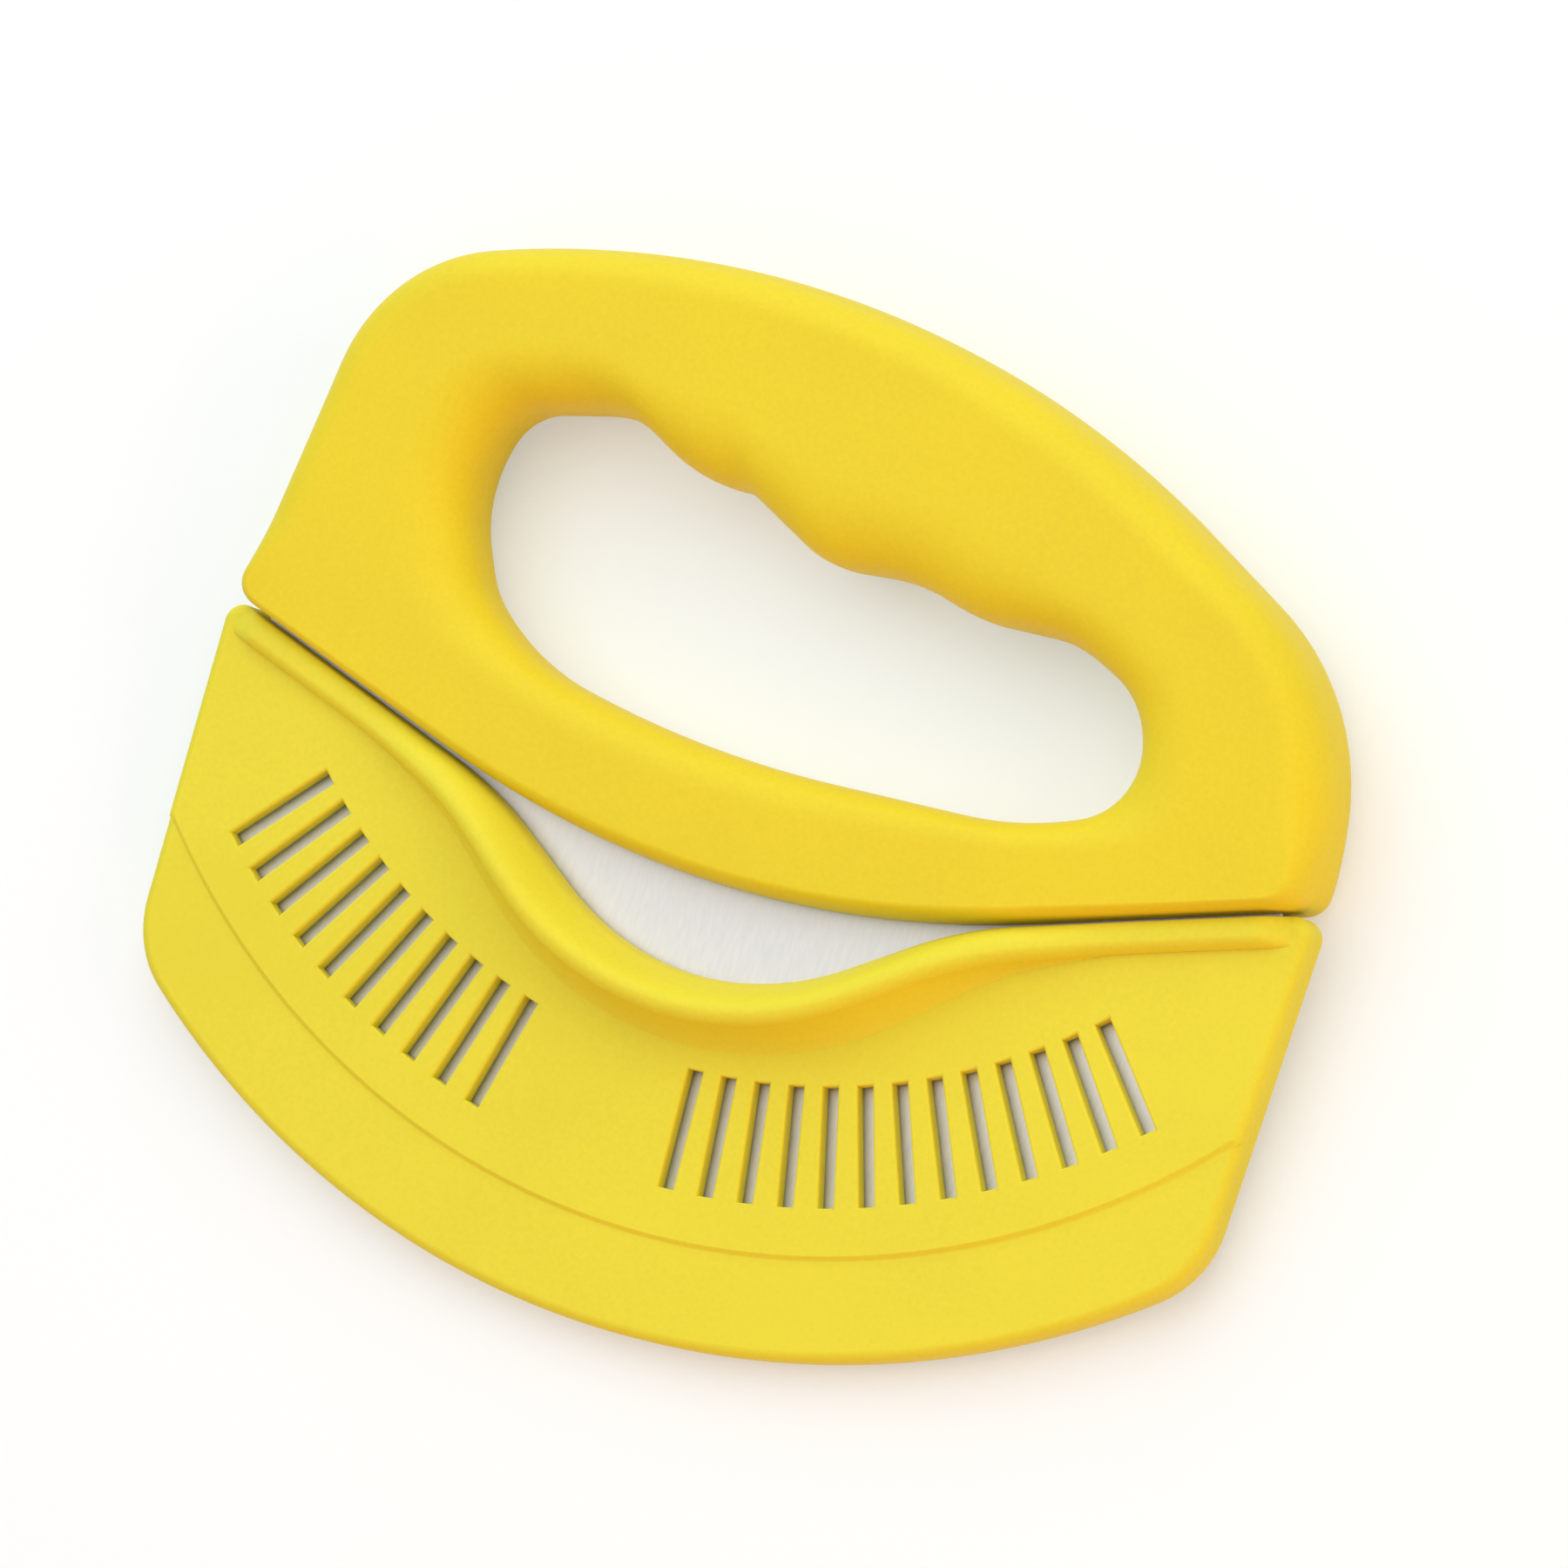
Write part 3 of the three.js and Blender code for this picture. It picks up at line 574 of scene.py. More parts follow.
def add_skin(bm, lines, ring, tube):
    """Skin over lines of points that lie side by side.

    With ring each line closes on itself; with tube the last line closes on the first. What stays
    open is capped.
    """
    number = bm.verts.layers.int.get("number") or bm.verts.layers.int.new("number")
    verts = [bm.verts.new(point) for point in lines[0]]
    for i, vert in enumerate(verts):
        vert[number] = i
    edges = [bm.edges.new(pair) for pair in zip(verts, verts[1:] + verts[:1] if ring else verts[1:])]
    made = set(verts)
    for line in lines[1:] + (lines[:1] if tube else []):
        grown = bmesh.ops.extrude_edge_only(bm, edges=edges)["geom"]
        edges = [item for item in grown if isinstance(item, bmesh.types.BMEdge)]
        for item in grown:
            if isinstance(item, bmesh.types.BMVert):
                item.co = line[item[number]]
                made.add(item)
    bmesh.ops.remove_doubles(bm, verts=list(made), dist=WELD)
    open_edges = [edge for edge in bm.edges if edge.is_boundary]
    bmesh.ops.holes_fill(bm, edges=open_edges, sides=0)


def skin(lines, ring, tube):
    """Solid of one skin."""
    bm = bmesh.new()
    add_skin(bm, lines, ring, tube)
    return solid(bm)


def finish_piece(body, name, plan, rides, node, finish):
    """Cleans a piece, lays it down, dresses it and hides the node it stands for."""
    body.name = name
    mesh = body.data
    mesh.name = name
    bm = bmesh.new()
    bm.from_mesh(mesh)
    bmesh.ops.remove_doubles(bm, verts=bm.verts, dist=WELD)
    bmesh.ops.dissolve_degenerate(bm, edges=bm.edges, dist=WELD)
    open_edges = sum(not edge.is_manifold for edge in bm.edges)
    if open_edges or not bm.faces:
        raise RuntimeError(f"{name} has {len(bm.faces)} faces and {open_edges} open edges")
    bmesh.ops.transform(bm, matrix=plan.lay_down(), verts=bm.verts)
    bm.to_mesh(mesh)
    bm.free()
    mesh.materials.clear()
    mesh.materials.append(finish)
    mesh.shade_smooth()
    mesh.set_sharp_from_angle(angle=SHARP_ANGLE)
    weighted = body.modifiers.new("Even shading", "WEIGHTED_NORMAL")
    weighted.keep_sharp = True
    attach(body, rides)
    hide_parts(node)


def finish_halves(front, rear, name, plan, rides, finish):
    """Finishes the front and rear half of a moulding."""
    for side, body in (("front", front), ("rear", rear)):
        node = f"{name}_{side}_shell"
        finish_piece(body, f"{name}_{side}_half", plan, rides, node, finish)


# Materials

# Cells in a metre of each pattern, the same all round or along X, Y and Z
CLOUD_CELLS = 38
FLOW_CELLS = (9, 55, 55)
SPECKLE_CELLS = 1300
GRAIN_CELLS = 2600
BRUSH_CELLS = (2500, 300, 2500)
STREAK_CELLS = (900, 190, 900)
MOTTLE_CELLS = 900

SPARK_HEIGHT = 0.012 * MM
BRUSH_HEIGHT = 0.004 * MM


class Wire:
    """Output of a shader node. Arithmetic on it adds Math nodes to its finish."""

    def __init__(self, finish, socket):
        self.finish = finish
        self.socket = socket

    def maths(self, operation, *values):
        return self.finish.add("ShaderNodeMath", {"operation": operation}, dict(enumerate(values)))

    def __add__(self, other):
        return self.maths("ADD", self, other)

    def __radd__(self, other):
        return self.maths("ADD", other, self)

    def __mul__(self, other):
        return self.maths("MULTIPLY", self, other)

    def __rmul__(self, other):
        return self.maths("MULTIPLY", other, self)


class Finish:
    """A material with one Principled shader, to which nodes are added."""

    def __init__(self, name, **constants):
        self.material = bpy.data.materials.new(name)
        self.material.use_nodes = True
        self.tree = self.material.node_tree
        self.shader = self.tree.nodes["Principled BSDF"]
        for socket, value in constants.items():
            self.shader.inputs[socket.replace("_", " ")].default_value = value

    def feed(self, socket, value):
        """Links a wire to a socket, or sets a plain value on it."""
        if isinstance(value, Wire):
            self.tree.links.new(value.socket, socket)
        else:
            socket.default_value = value

    def add(self, kind, settings, inputs, output=0):
        """New node with its settings and inputs; gives one of its outputs."""
        node = self.tree.nodes.new(kind)
        for name, value in settings.items():
            setattr(node, name, value)
        for name, value in inputs.items():
            self.feed(node.inputs[name], value)
        return Wire(self, node.outputs[output])

    def set(self, socket, value):
        self.feed(self.shader.inputs[socket], value)

    def noise(self, cells, detail=2.0, roughness=0.5):
        """Noise with the given cells in a metre, the same all round or along X, Y and Z."""
        at = self.add("ShaderNodeTexCoord", {}, {}, "Object")
        if isinstance(cells, tuple):
            at = self.add("ShaderNodeMapping", {"vector_type": "POINT"}, {"Vector": at, "Scale": cells})
            cells = 1
        inputs = {"Vector": at, "Scale": cells, "Detail": detail, "Roughness": roughness}
        return self.add("ShaderNodeTexNoise", {}, inputs)

    def blend(self, amount, first, second):
        """Colour between two colours."""
        inputs = {0: amount, 6: (*first, 1), 7: (*second, 1)}
        return self.add("ShaderNodeMix", {"data_type": "RGBA"}, inputs, 2)

    def ramp(self, value, low=0.3, high=0.7):
        """Soft step from 0 at low to 1 at high."""
        inputs = {"Value": value, "From Min": low, "From Max": high}
        return self.add("ShaderNodeMapRange", {"interpolation_type": "SMOOTHSTEP"}, inputs)

    def tones(self, amount, colour, deep, light):
        """Base colour between a deep and a light tone of one colour."""
        shades = [[min(channel * share, 1) for channel in colour] for share in (deep, light)]
        self.set("Base Color", self.blend(amount, *shades))

    def bump(self, height, distance, strength):
        self.set("Normal", self.add(
            "ShaderNodeBump", {}, {"Height": height, "Distance": distance, "Strength": strength}
        ))


def moulded_plastic(name, colour):
    """Satin moulded plastic with a fine spark texture, specks and faint flow marks."""
    finish = Finish(name, IOR=1.47, Specular_IOR_Level=0.2)
    cloud = finish.noise(CLOUD_CELLS)
    flow = finish.noise(FLOW_CELLS, 3)
    speckle = finish.noise(SPECKLE_CELLS, 2, 0.6)
    grain = finish.noise(GRAIN_CELLS, 2, 0.6)
    finish.tones(finish.ramp(cloud * 0.35 + flow * 0.25 + speckle * 0.4), colour, 0.955, 1.035)
    finish.set("Roughness", 0.42 + cloud * 0.08 + grain * 0.08)
    finish.bump(grain, SPARK_HEIGHT, 0.5)
    return finish.material


def satin_steel(name, colour):
    """Rolled stainless sheet, brushed along Y, with fine hairs and wider streaks."""
    finish = Finish(name, Metallic=0.7)
    brushed = finish.noise(BRUSH_CELLS, 3, 0.6)
    streaks = finish.noise(STREAK_CELLS, 3)
    finish.tones(finish.ramp(brushed * 0.5 + streaks * 0.5), colour, 0.935, 1.045)
    finish.set("Roughness", 0.36 + brushed * 0.14 + streaks * 0.08)
    finish.bump(brushed, BRUSH_HEIGHT, 0.4)
    return finish.material


def plated_steel(name, colour):
    """Zinc-plated screw steel, slightly mottled."""
    finish = Finish(name, Metallic=1.0)
    mottle = finish.noise(MOTTLE_CELLS, 3, 0.6)
    finish.tones(mottle, colour, 0.85, 1.1)
    finish.set("Roughness", 0.26 + mottle * 0.2)
    return finish.material


def pale_floor(name, colour, glow):
    """Even pale floor that looks white to the camera and still takes shadows."""
    finish = Finish(name, Roughness=0.9, Specular_IOR_Level=0.1, Emission_Strength=1.0)
    finish.set("Base Color", (*colour, 1))
    rays = ("Is Camera Ray", "Is Glossy Ray", "Is Transmission Ray")
    camera, glossy, through = (finish.add("ShaderNodeLightPath", {}, {}, ray) for ray in rays)
    seen = camera + glossy + through
    finish.set("Emission Color", finish.blend(seen, (0, 0, 0), (glow, glow, glow)))
    return finish.material


# Pieces


class CUTTER_OT_blade(bpy.types.Operator):
    """Make the blade: a flat sheet with spigot holes and a ground edge"""

    bl_idname = "cutter.blade"
    bl_label = "Blade"

    def execute(self, context):
        plan = Plan(context.scene)
        blade = plan.blade
        tang, _ = plan.screw_places()
        body = prism(plan.blade_outline(0), -plan.blade_half, plan.blade_half)
        hole = socket_diameter(plan.screw)
        combine(body, "DIFFERENCE", pegs(tang, hole, lambda at: (-OVERSHOOT, OVERSHOOT)))
        for side in (1, -1):
            combine(body, "DIFFERENCE", self.grind(plan, side))
        finish = satin_steel("satin_blade_steel", blade.colour)
        finish_piece(body, "rocker_blade", plan, "cutter", "blade", finish)
        return {"FINISHED"}

    def grind(self, plan, side):
        """Ring that takes the ground band off one side of the edge."""
        blade = plan.blade
        edge = plan.guard.arc_radius - plan.blade_inset
        half = plan.blade_half
        fall = (half - blade.edge_thickness / 2) / blade.grind_width
        inner = edge - blade.grind_width
        outer = edge + OVERSHOOT
        profile = [
            (inner, half), (outer, blade.edge_thickness / 2 - fall * OVERSHOOT),
            (outer, half + OVERSHOOT), (inner, half + OVERSHOOT), (inner, half),
        ]
        bm = bmesh.new()
        add_spin(bm, [(radius, side * z) for radius, z in profile])
        bmesh.ops.translate(bm, verts=bm.verts, vec=plan.arc_centre.to_3d())
        return solid(bm)


def pilot_diameter(screw):
    """Bore round the shanks."""
    return screw.shank_diameter + 2 * CLEARANCE


def spigot_diameter(screw):
    """Outside of the spigots that take the screws."""
    return pilot_diameter(screw) + 2 * screw.spigot_wall


def socket_diameter(screw):
    """Bore of the sockets and of the blade's holes, round the spigots."""
    return spigot_diameter(screw) + 2 * CLEARANCE


def rounding(angle, power):
    """Inset and rise, as shares, of a soft rounding; power 2 makes an ellipse."""
    return 1 - math.cos(angle) ** (2 / power), math.sin(angle) ** (2 / power)


def handle_section(plan, outer, inner, side):
    """Closed section of one handle shell between an outline point and an opening point."""
    handle = plan.handle
    width = (inner - outer).length
    away = outer.y - plan.lower_edge(outer.x)
    grown = smooth(away, 0, handle.foot_blend)
    outer_reach = handle.lower_round + (handle.outer_round - handle.lower_round) * grown
    outer_reach = min(outer_reach, width * handle.round_share)
    inner_reach = min(handle.opening_round, width * handle.round_share)
    outer_vault = max(outer_reach - handle.wall, CLEARANCE)
    inner_vault = max(inner_reach - handle.wall, CLEARANCE)
    land = handle.parting_land
    angles = [math.pi / 2 * i / SECTION_STEPS for i in range(SECTION_STEPS + 1)]
    roundings = [rounding(angle, handle.round_power) for angle in angles]
    vaults = roundings[::SECTION_STEPS // VAULT_STEPS][1:]
    points = []

    def put(across, low, high_drop, rise):
        """Adds the point at a share of the rise from the low height to under the face."""
        place = outer.lerp(inner, across / width)
        top = plan.face_height(place.y) - high_drop
        points.append((place.x, place.y, side * (low + (top - low) * rise)))

    put(handle.parting_round, plan.seam, 0, 0)
    put(0, plan.seam + handle.parting_round, 0, 0)
    for inset, rise in roundings:
        put(outer_reach * inset, land, 0, rise)
    for inset, rise in reversed(roundings):
        put(width - inner_reach * inset, land, 0, rise)
    put(width, plan.seam + handle.parting_round, 0, 0)
    put(width - handle.parting_round, plan.seam, 0, 0)
    put(width - handle.wall, plan.seam, 0, 0)
    for inset, rise in vaults:
        put(width - handle.wall - inner_vault * inset, plan.seam, handle.wall, rise)
    for inset, rise in reversed(vaults):
        put(handle.wall + outer_vault * inset, plan.seam, handle.wall, rise)
    put(handle.wall, plan.seam, 0, 0)
    return points


def handle_shell(plan, side):
    """Hollow half of the handle, before bosses and bores."""
    sections = [handle_section(plan, outer, inner, side) for outer, inner in plan.ring_stations()]
    body = skin([list(line) for line in zip(*sections)], ring=True, tube=True)
    room = plan.blade_half + CLEARANCE
    combine(body, "DIFFERENCE", prism(plan.blade_outline(CLEARANCE), *sorted((0, side * room))))
    return body


class CUTTER_OT_handle(bpy.types.Operator):
    """Make the two shells of the ring handle, with their bosses, spigots and screw seats"""

    bl_idname = "cutter.handle"
    bl_label = "Handle shells"

    def execute(self, context):
        plan = Plan(context.scene)
        finish = moulded_plastic("satin_handle_plastic", plan.handle.colour)
        finish_halves(self.front(plan), self.rear(plan), "handle", plan, "cutter", finish)
        return {"FINISHED"}

    def front(self, plan):
        """Front shell: bosses and spigots that take the screws and pass through the blade."""
        screw = plan.screw
        handle = plan.handle
        body = handle_shell(plan, 1)
        tang, upper = plan.screw_places()
        boss = socket_diameter(screw) + 2 * screw.boss_wall

        def top(at):
            return plan.face_height(at.y) - handle.wall / 2

        combine(body, "UNION", pegs(tang, boss, lambda at: (plan.blade_half + CLEARANCE, top(at))))
        combine(body, "UNION", pegs(upper, boss, lambda at: (plan.seam, top(at))))
        spigot = spigot_diameter(screw)
        combine(body, "UNION", pegs(tang + upper, spigot, lambda at: (-screw.spigot_reach, top(at))))
        end = screw.length - screw.seat + CLEARANCE
        pilot = pilot_diameter(screw)
        combine(body, "DIFFERENCE", pegs(tang + upper, pilot, lambda at: (-OVERSHOOT, end)))
        return body

    def rear(self, plan):
        """Rear shell: sockets for the spigots, seats for the heads and counterbores from the back."""
        screw = plan.screw
        body = handle_shell(plan, -1)
        tang, upper = plan.screw_places()
        counterbore = screw.head_diameter + 2 * CLEARANCE
        boss = counterbore + 2 * screw.boss_wall

        def back(at):
            return plan.handle.wall / 2 - plan.face_height(at.y)

        combine(body, "UNION", pegs(tang, boss, lambda at: (-plan.blade_half - CLEARANCE, back(at))))
        combine(body, "UNION", pegs(upper, boss, lambda at: (-plan.seam, back(at))))
        combine(body, "DIFFERENCE", self.bores(plan, tang + upper, counterbore))
        return body

    def bores(self, plan, places, counterbore):
        """Stepped bores: socket, pilot hole and counterbore, each with a bevelled mouth."""
        screw = plan.screw
        socket = socket_diameter(screw) / 2
        pilot = pilot_diameter(screw) / 2
        step = -screw.spigot_reach - CLEARANCE
        rim = counterbore / 2
        bevel = screw.rim_round
        bm = bmesh.new()
        for at in places:
            mouth = -plan.face_height(at.y)
            profile = [
                (0, OVERSHOOT), (socket, OVERSHOOT), (socket, step), (pilot, step), (pilot, -screw.seat),
                (rim, -screw.seat), (rim, mouth + bevel), (rim + 2 * bevel, mouth - bevel),
                (0, mouth - bevel),
            ]
            verts = add_spin(bm, profile, PEG_SIDES)
            bmesh.ops.translate(bm, verts=verts, vec=at.to_3d())
        return solid(bm)


class CUTTER_OT_screws(bpy.types.Operator):
    """Make the six pan-head screws of the handle"""

    bl_idname = "cutter.screws"
    bl_label = "Handle screws"

    def execute(self, context):
        plan = Plan(context.scene)
        finish = plated_steel("plated_screw_steel", plan.screw.colour)
        tang, upper = plan.screw_places()
        for i, at in enumerate(tang + upper, 1):
            body = self.screw(plan, at)
            node = f"handle_screw_{i}"
            finish_piece(body, f"pan_head_screw_{i}", plan, "cutter", node, finish)
        return {"FINISHED"}

    def screw(self, plan, at):
        """One screw, its head under its seat in the rear shell."""
        screw = plan.screw
        head = screw.head_diameter / 2
        shank = screw.shank_diameter / 2
        bevel = screw.head_height / 2
        under = -screw.seat - CLEARANCE
        crown = rounded_chain([
            (0, -screw.head_height, 0), (head, -screw.head_height, bevel), (head, 0, 0),
        ], ROUND_STEPS)
        profile = [tuple(point) for point in crown]
        profile += [(shank, 0), (shank, screw.length - screw.tip_length), (0, screw.length)]
        bm = bmesh.new()
        verts = add_spin(bm, profile, PEG_SIDES)
        bmesh.ops.translate(bm, verts=verts, vec=(at.x, at.y, under))
        body = solid(bm)
        top = under - screw.head_height
        drive = (screw.drive_length, screw.drive_width)
        for wide, long in (drive, drive[::-1]):
            slot = rectangle(at, wide, long)
            combine(body, "DIFFERENCE", prism(slot, top - OVERSHOOT, top + screw.drive_depth))
        return body


class CUTTER_OT_guard(bpy.types.Operator):
    """Make the two shells of the blade guard, with lip, recessed band and drying slots"""

    bl_idname = "cutter.guard"
    bl_label = "Blade guard"

    def execute(self, context):
        plan = Plan(context.scene)
        finish = moulded_plastic("satin_guard_plastic", plan.guard.colour)
        finish_halves(self.front(plan), self.rear(plan), "guard", plan, "guard", finish)
        return {"FINISHED"}

    def front(self, plan):
        """Front shell: face with the recessed band, lip, pocket and slots."""
        body = prism(plan.guard_outline(), plan.seam, plan.guard_half, plan.guard.edge_round)
        combine(body, "DIFFERENCE", self.band(plan))
        combine(body, "UNION", self.lip(plan, 1))
        self.hollow(plan, body)
        combine(body, "DIFFERENCE", self.slots(plan))
        return body

    def rear(self, plan):
        """Rear shell: plain face and lip, made facing up and then turned over."""
        body = prism(plan.guard_outline(), plan.seam, plan.guard_half, plan.guard.edge_round)
        combine(body, "UNION", self.lip(plan, plan.guard.rear_flare))
        self.hollow(plan, body)
        bm = bmesh.new()
        bm.from_mesh(body.data)
        bmesh.ops.scale(bm, verts=bm.verts, vec=(1, 1, -1))
        bmesh.ops.recalc_face_normals(bm, faces=bm.faces)
        bm.to_mesh(body.data)
        bm.free()
        return body

    def band(self, plan):
        """Cutter for the recessed band: a ring outside the step, over a lower rounded face."""
        guard = plan.guard
        radius = guard.arc_radius - guard.band_width
        top = plan.guard_half
        floor = top - guard.band_depth
        outside = guard.arc_radius + 2 * OVERSHOOT
        profile = [(outside, 0), (outside, top + OVERSHOOT), (radius, top + OVERSHOOT)]
        for part in (i / BAND_STEPS for i in range(BAND_STEPS + 1)):
            fall = (guard.band_depth + 2 * HAIR) * smooth(part, 0, 1)
            profile.append((radius + guard.step_width * part, top + HAIR - fall))
        profile.append((radius + guard.step_width, 0))
        bm = bmesh.new()
        add_spin(bm, profile + profile[:1])
        bmesh.ops.translate(bm, verts=bm.verts, vec=plan.arc_centre.to_3d())
        ring = solid(bm)
        height = OVERSHOOT
        half = plan.side_half(height, -HAIR)
        low_face = plan.lower_outline(-HAIR) + [Vector((half, height)), Vector((-half, height))]
        low = prism(low_face, -OVERSHOOT, floor, guard.edge_round)
        combine(ring, "DIFFERENCE", low)
        return ring

    def lip(self, plan, most):
        """Round lip along the top edge; in the dip it flares outwards by the share given."""
        guard = plan.guard
        chain = rounded_chain(plan.top_corners(guard.top_half - guard.top_radius, 0))[::-1]
        total = sum((b - a).length for a, b in zip(chain, chain[1:]))
        count = math.ceil(total / ARC_STEP)
        path = points_at_shares(chain, [i / count for i in range(count + 1)])
        sections = []
        for before, point, after in zip(path[:1] + path, path, path[1:] + path[-1:]):
            along = (after - before).normalized()
            inward = Vector((along.y, -along.x))
            section = []
            for drop, z in self.lip_section(plan, point, most):
                place = point + inward * drop
                section.append((place.x, place.y, z))
            sections.append(section)
        body = skin([list(line) for line in zip(*sections)], ring=False, tube=True)
        above = plan.guard_half + guard.lip_height + guard.bead_height + OVERSHOOT
        combine(body, "INTERSECT", prism(plan.guard_outline(HAIR), 0, above))
        return body

    def lip_section(self, plan, point, most):
        """Closed section of the lip at a point of the top edge, as drop and height."""
        guard = plan.guard
        face = plan.guard_half
        flare = most * (1 - smooth(abs(point.x), guard.flare_inner, guard.flare_outer))
        rise = smooth(guard.top_half - guard.top_radius - abs(point.x), 0, guard.lip_end)
        brim = face - guard.edge_round + rise * (guard.edge_round + guard.lip_brim)
        sunk = face - CLEARANCE / 2
        crest = sunk + rise * (CLEARANCE / 2 + guard.lip_height + flare * guard.bead_height)
        crest_at = guard.lip_crest + flare * guard.bead_crest
        foot = sunk + flare * guard.flare_height
        foot_at = guard.lip_width + flare * guard.bead_width
        end = sunk - flare * guard.flare_sink
        end_at = foot_at + flare * guard.flare_width + CLEARANCE
        base = plan.cavity_half + CLEARANCE
        angles = [math.pi / 2 * i / LIP_STEPS for i in range(LIP_STEPS + 1)]
        section = [(2 * HAIR, base)]
        for angle in angles:
            inward = (1 - flare) * (1 - math.cos(angle)) + flare * angle / (math.pi / 2)
            drop = 2 * HAIR + (crest_at - 2 * HAIR) * inward
            section.append((drop, brim + (crest - brim) * math.sin(angle)))
        for angle in angles[1:]:
            drop = crest_at + (foot_at - crest_at) * math.sin(angle)
            section.append((drop, foot + (crest - foot) * math.cos(angle)))
        for angle in angles[1:]:
            drop = end_at - (end_at - foot_at) * math.cos(angle)
            section.append((drop, foot - (foot - end) * math.sin(angle)))
        return section + [(end_at, base)]

    def hollow(self, plan, body):
        """Cuts the pocket for the blade, open at the top, and leaves grip ribs in it."""
        guard = plan.guard
        mouth = plan.end_height + OVERSHOOT
        half = plan.side_half(mouth, guard.rim_wall)
        pocket = plan.lower_outline(guard.rim_wall) + [Vector((half, mouth)), Vector((-half, mouth))]
        room = prism(pocket, -plan.cavity_half, plan.cavity_half)
        outer = plan.side_half(plan.corner_y, plan.blade_inset + guard.rib_inset)
        bm = bmesh.new()
        for x in (-outer, 0, outer):
            top = plan.end_line(x, -guard.gap) - guard.lip_width
            if x == 0:
                top = -guard.dip_depth - guard.lip_width - guard.bead_width - guard.flare_width
            rib = rectangle(Vector((x, top - guard.rib_length / 2)), guard.rib_width, guard.rib_length)
            add_prism(bm, rib, plan.blade_half + CLEARANCE, plan.cavity_half + OVERSHOOT)
        combine(room, "DIFFERENCE", solid(bm))
        combine(body, "DIFFERENCE", room)

    def slots(self, plan):
        """Cutters for the drying slots, in two groups along the arc, with rounded rims."""
        guard = plan.guard
        middle = guard.arc_radius - guard.slot_inset - guard.slot_length / 2
        groups = (
            (-guard.left_slots_angle, guard.left_slot_count),
            (guard.right_slots_angle, guard.right_slot_count),
        )
        centre = Matrix.Translation(plan.arc_centre.to_3d())
        out = Matrix.Translation((0, -middle, 0))
        bm = bmesh.new()
        for angle, count in groups:
            for i in range(count):
                turned = Matrix.Rotation(angle + (i - (count - 1) / 2) * guard.slot_pitch, 4, "Z")
                add_skin(bm, self.slot_loops(plan, centre @ turned @ out), ring=True, tube=False)
        return solid(bm)

    def slot_loops(self, plan, place):
        """Loops of one slot cutter from the pocket to above the face."""
        guard = plan.guard
        bend = guard.slot_round
        top = plan.guard_half
        levels = [(0, 0)]
        for angle in (math.pi / 2 * i / SLOT_STEPS for i in range(SLOT_STEPS)):
            levels.append((bend * (1 - math.cos(angle)), top - bend * (1 - math.sin(angle))))
        levels.append((2 * bend, top + bend))
        loops = []
        for grow, z in levels:
            loop = rectangle(Vector((0, 0)), guard.slot_width + 2 * grow, guard.slot_length + 2 * grow)
            loops.append([place @ Vector((point.x, point.y, z)) for point in loop])
        return loops


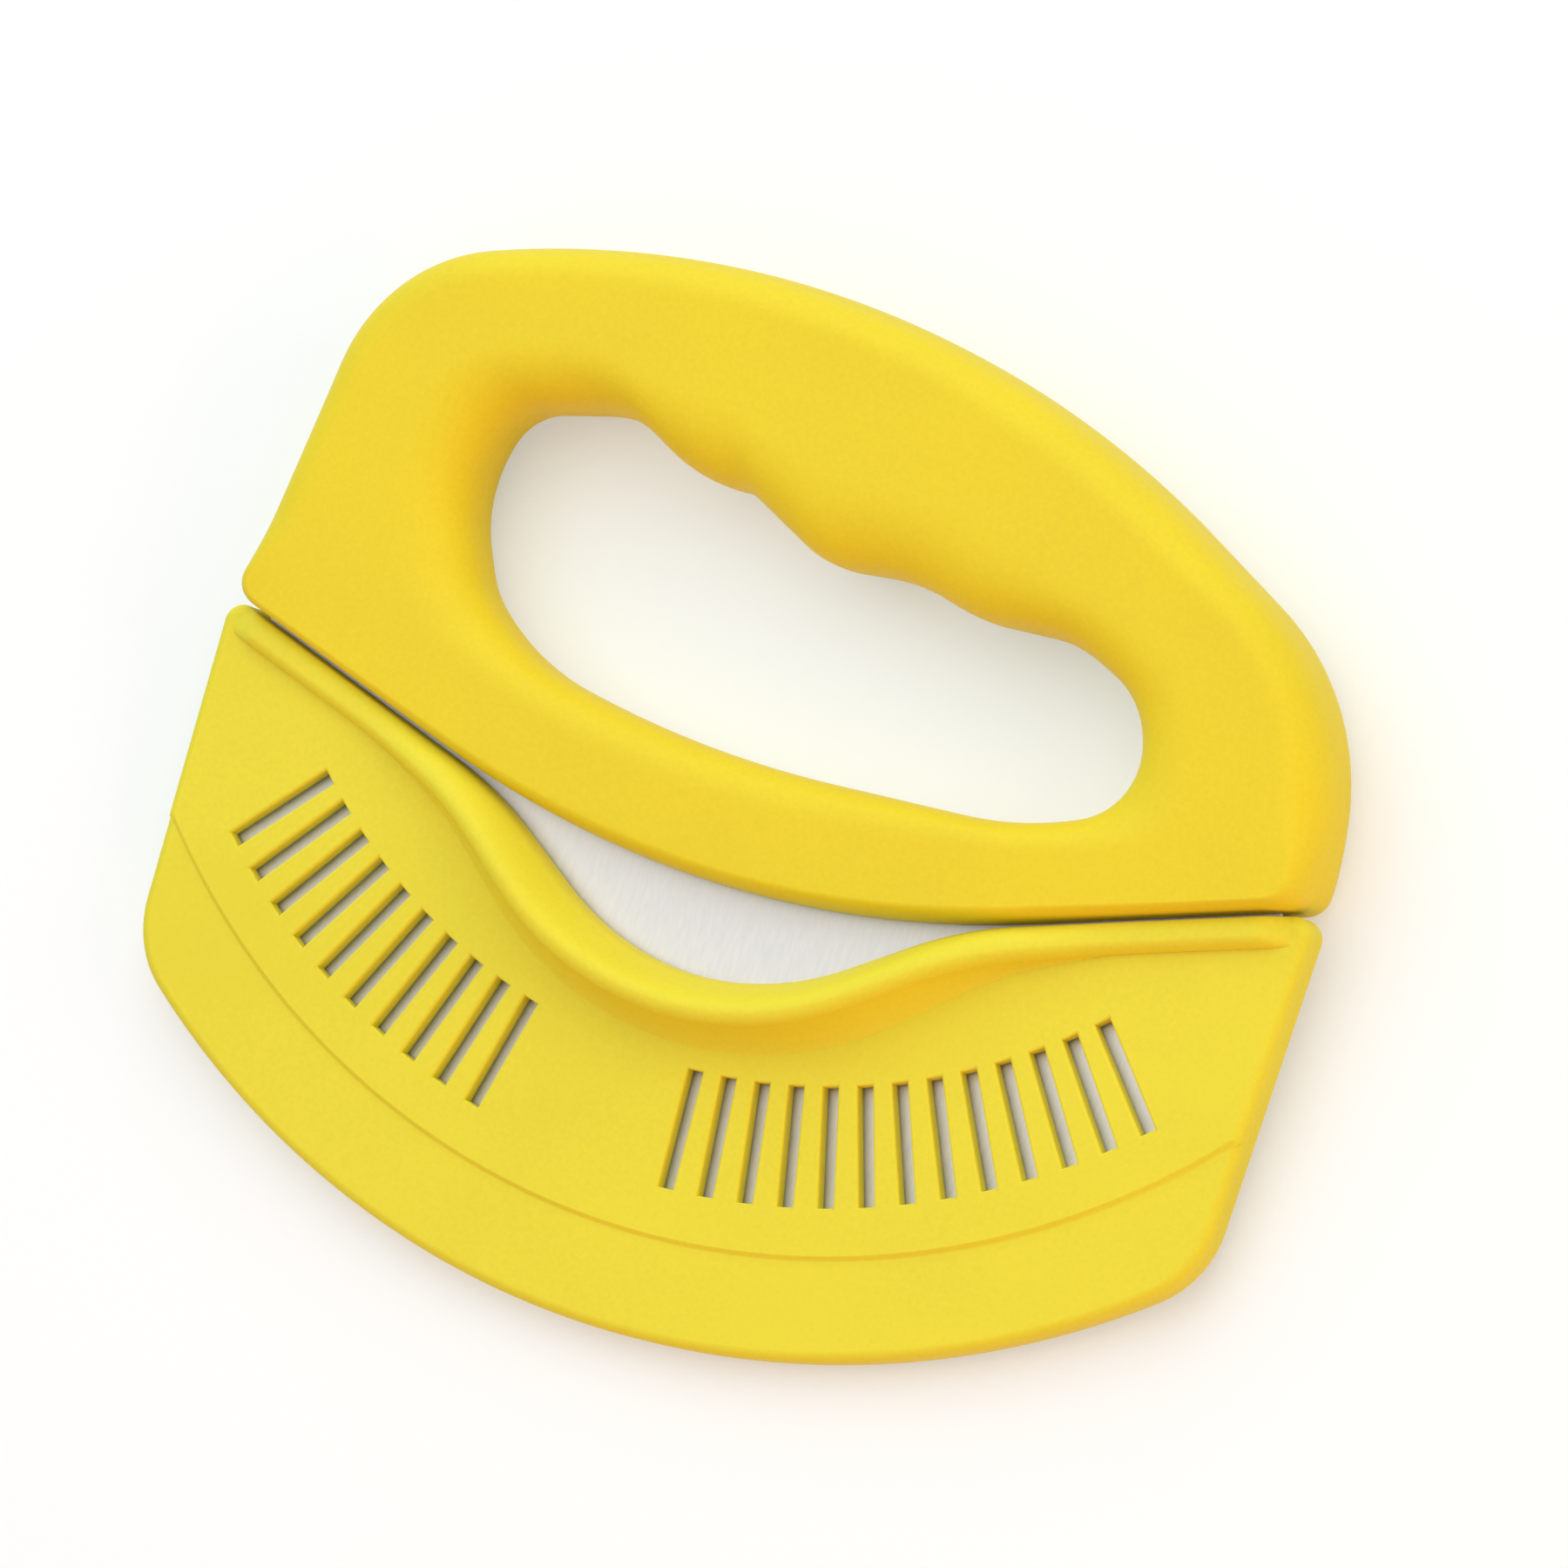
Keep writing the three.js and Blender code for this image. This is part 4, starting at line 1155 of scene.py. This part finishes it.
class CUTTER_OT_stage(bpy.types.Operator):
    """Set the floor, the lamps and the camera"""

    bl_idname = "cutter.stage"
    bl_label = "Stage"

    def execute(self, context):
        scene = context.scene
        stage = scene.cutter_stage
        plan = Plan(scene)
        self.floor(stage)
        self.world(scene, stage)
        self.lamp("key_lamp", stage.key_power, stage.key_side, stage.key_place)
        side = self.lamp("side_lamp", stage.side_power, stage.fill_side, stage.side_place)
        low = self.lamp("low_lamp", stage.low_power, stage.fill_side, stage.low_place)
        self.warm(side, stage.side_colour)
        self.warm(low, stage.low_colour)
        self.camera(scene, stage, plan)
        scene.view_settings.view_transform = "Standard"
        return {"FINISHED"}

    def floor(self, stage):
        """Wide floor under the tool."""
        bm = bmesh.new()
        bmesh.ops.create_grid(bm, x_segments=1, y_segments=1, size=stage.floor_size / 2)
        mesh = bpy.data.meshes.new("floor")
        bm.to_mesh(mesh)
        bm.free()
        mesh.materials.append(pale_floor("pale_floor", stage.floor_colour, stage.floor_glow))
        floor = bpy.data.objects.new("floor", mesh)
        bpy.context.scene.collection.objects.link(floor)

    def world(self, scene, stage):
        """Even light from all round."""
        scene.world = bpy.data.worlds.new("even_light")
        scene.world.use_nodes = True
        background = scene.world.node_tree.nodes["Background"]
        background.inputs["Color"].default_value = (1, 1, 1, 1)
        background.inputs["Strength"].default_value = stage.world_strength

    def lamp(self, name, power, side, place):
        """Square lamp that points at the tool."""
        light = bpy.data.lights.new(name, "AREA")
        light.energy = power
        light.size = side
        lamp = bpy.data.objects.new(name, light)
        lamp.location = place
        lamp.rotation_euler = (-lamp.location).to_track_quat("-Z", "Y").to_euler()
        bpy.context.scene.collection.objects.link(lamp)
        return lamp

    def warm(self, lamp, colour):
        """Colours a lamp, and keeps its colour out of the steel's reflections."""
        lamp.data.color = colour
        lamp.visible_glossy = False

    def camera(self, scene, stage, plan):
        """Camera at the photographed view of the flat tool."""
        x, y, z = stage.camera_turn
        turned = Matrix.Rotation(y, 4, "Y") @ Matrix.Rotation(x, 4, "X") @ Matrix.Rotation(z, 4, "Z")
        seen = Matrix.Translation(stage.camera_shift) @ turned
        data = bpy.data.cameras.new("camera")
        data.lens = stage.lens
        data.sensor_width = SENSOR_WIDTH
        camera = bpy.data.objects.new("camera", data)
        camera.matrix_world = plan.lay_down() @ seen.inverted()
        scene.collection.objects.link(camera)
        scene.camera = camera


class CUTTER_PT_panel(bpy.types.Panel):
    """Settings, and the buttons that make the pieces and the stage"""

    bl_idname = "CUTTER_PT_panel"
    bl_label = "Rocker Pizza Cutter"
    bl_space_type = "VIEW_3D"
    bl_region_type = "UI"
    bl_category = "Cutter"

    def draw(self, context):
        for name, group in GROUPS.items():
            box = self.layout.box()
            for setting in group.__annotations__:
                box.prop(getattr(context.scene, name), setting)
        for operator in OPERATORS:
            self.layout.operator(operator.bl_idname)


GROUPS = {
    "cutter_handle": HandleSettings,
    "cutter_blade": BladeSettings,
    "cutter_screw": ScrewSettings,
    "cutter_guard": GuardSettings,
    "cutter_stage": StageSettings,
}
OPERATORS = (CUTTER_OT_stage, CUTTER_OT_blade, CUTTER_OT_handle, CUTTER_OT_screws, CUTTER_OT_guard)


def register():
    for cls in (*GROUPS.values(), *OPERATORS, CUTTER_PT_panel):
        bpy.utils.register_class(cls)
    for name, group in GROUPS.items():
        setattr(bpy.types.Scene, name, PointerProperty(type=group))


def unregister():
    for name in GROUPS:
        delattr(bpy.types.Scene, name)
    for cls in (CUTTER_PT_panel, *reversed(OPERATORS), *GROUPS.values()):
        bpy.utils.unregister_class(cls)


def main():
    register()
    bpy.ops.cutter.stage()
    bpy.ops.cutter.blade()
    bpy.ops.cutter.handle()
    bpy.ops.cutter.screws()
    bpy.ops.cutter.guard()


if __name__ == "__main__":
    main()
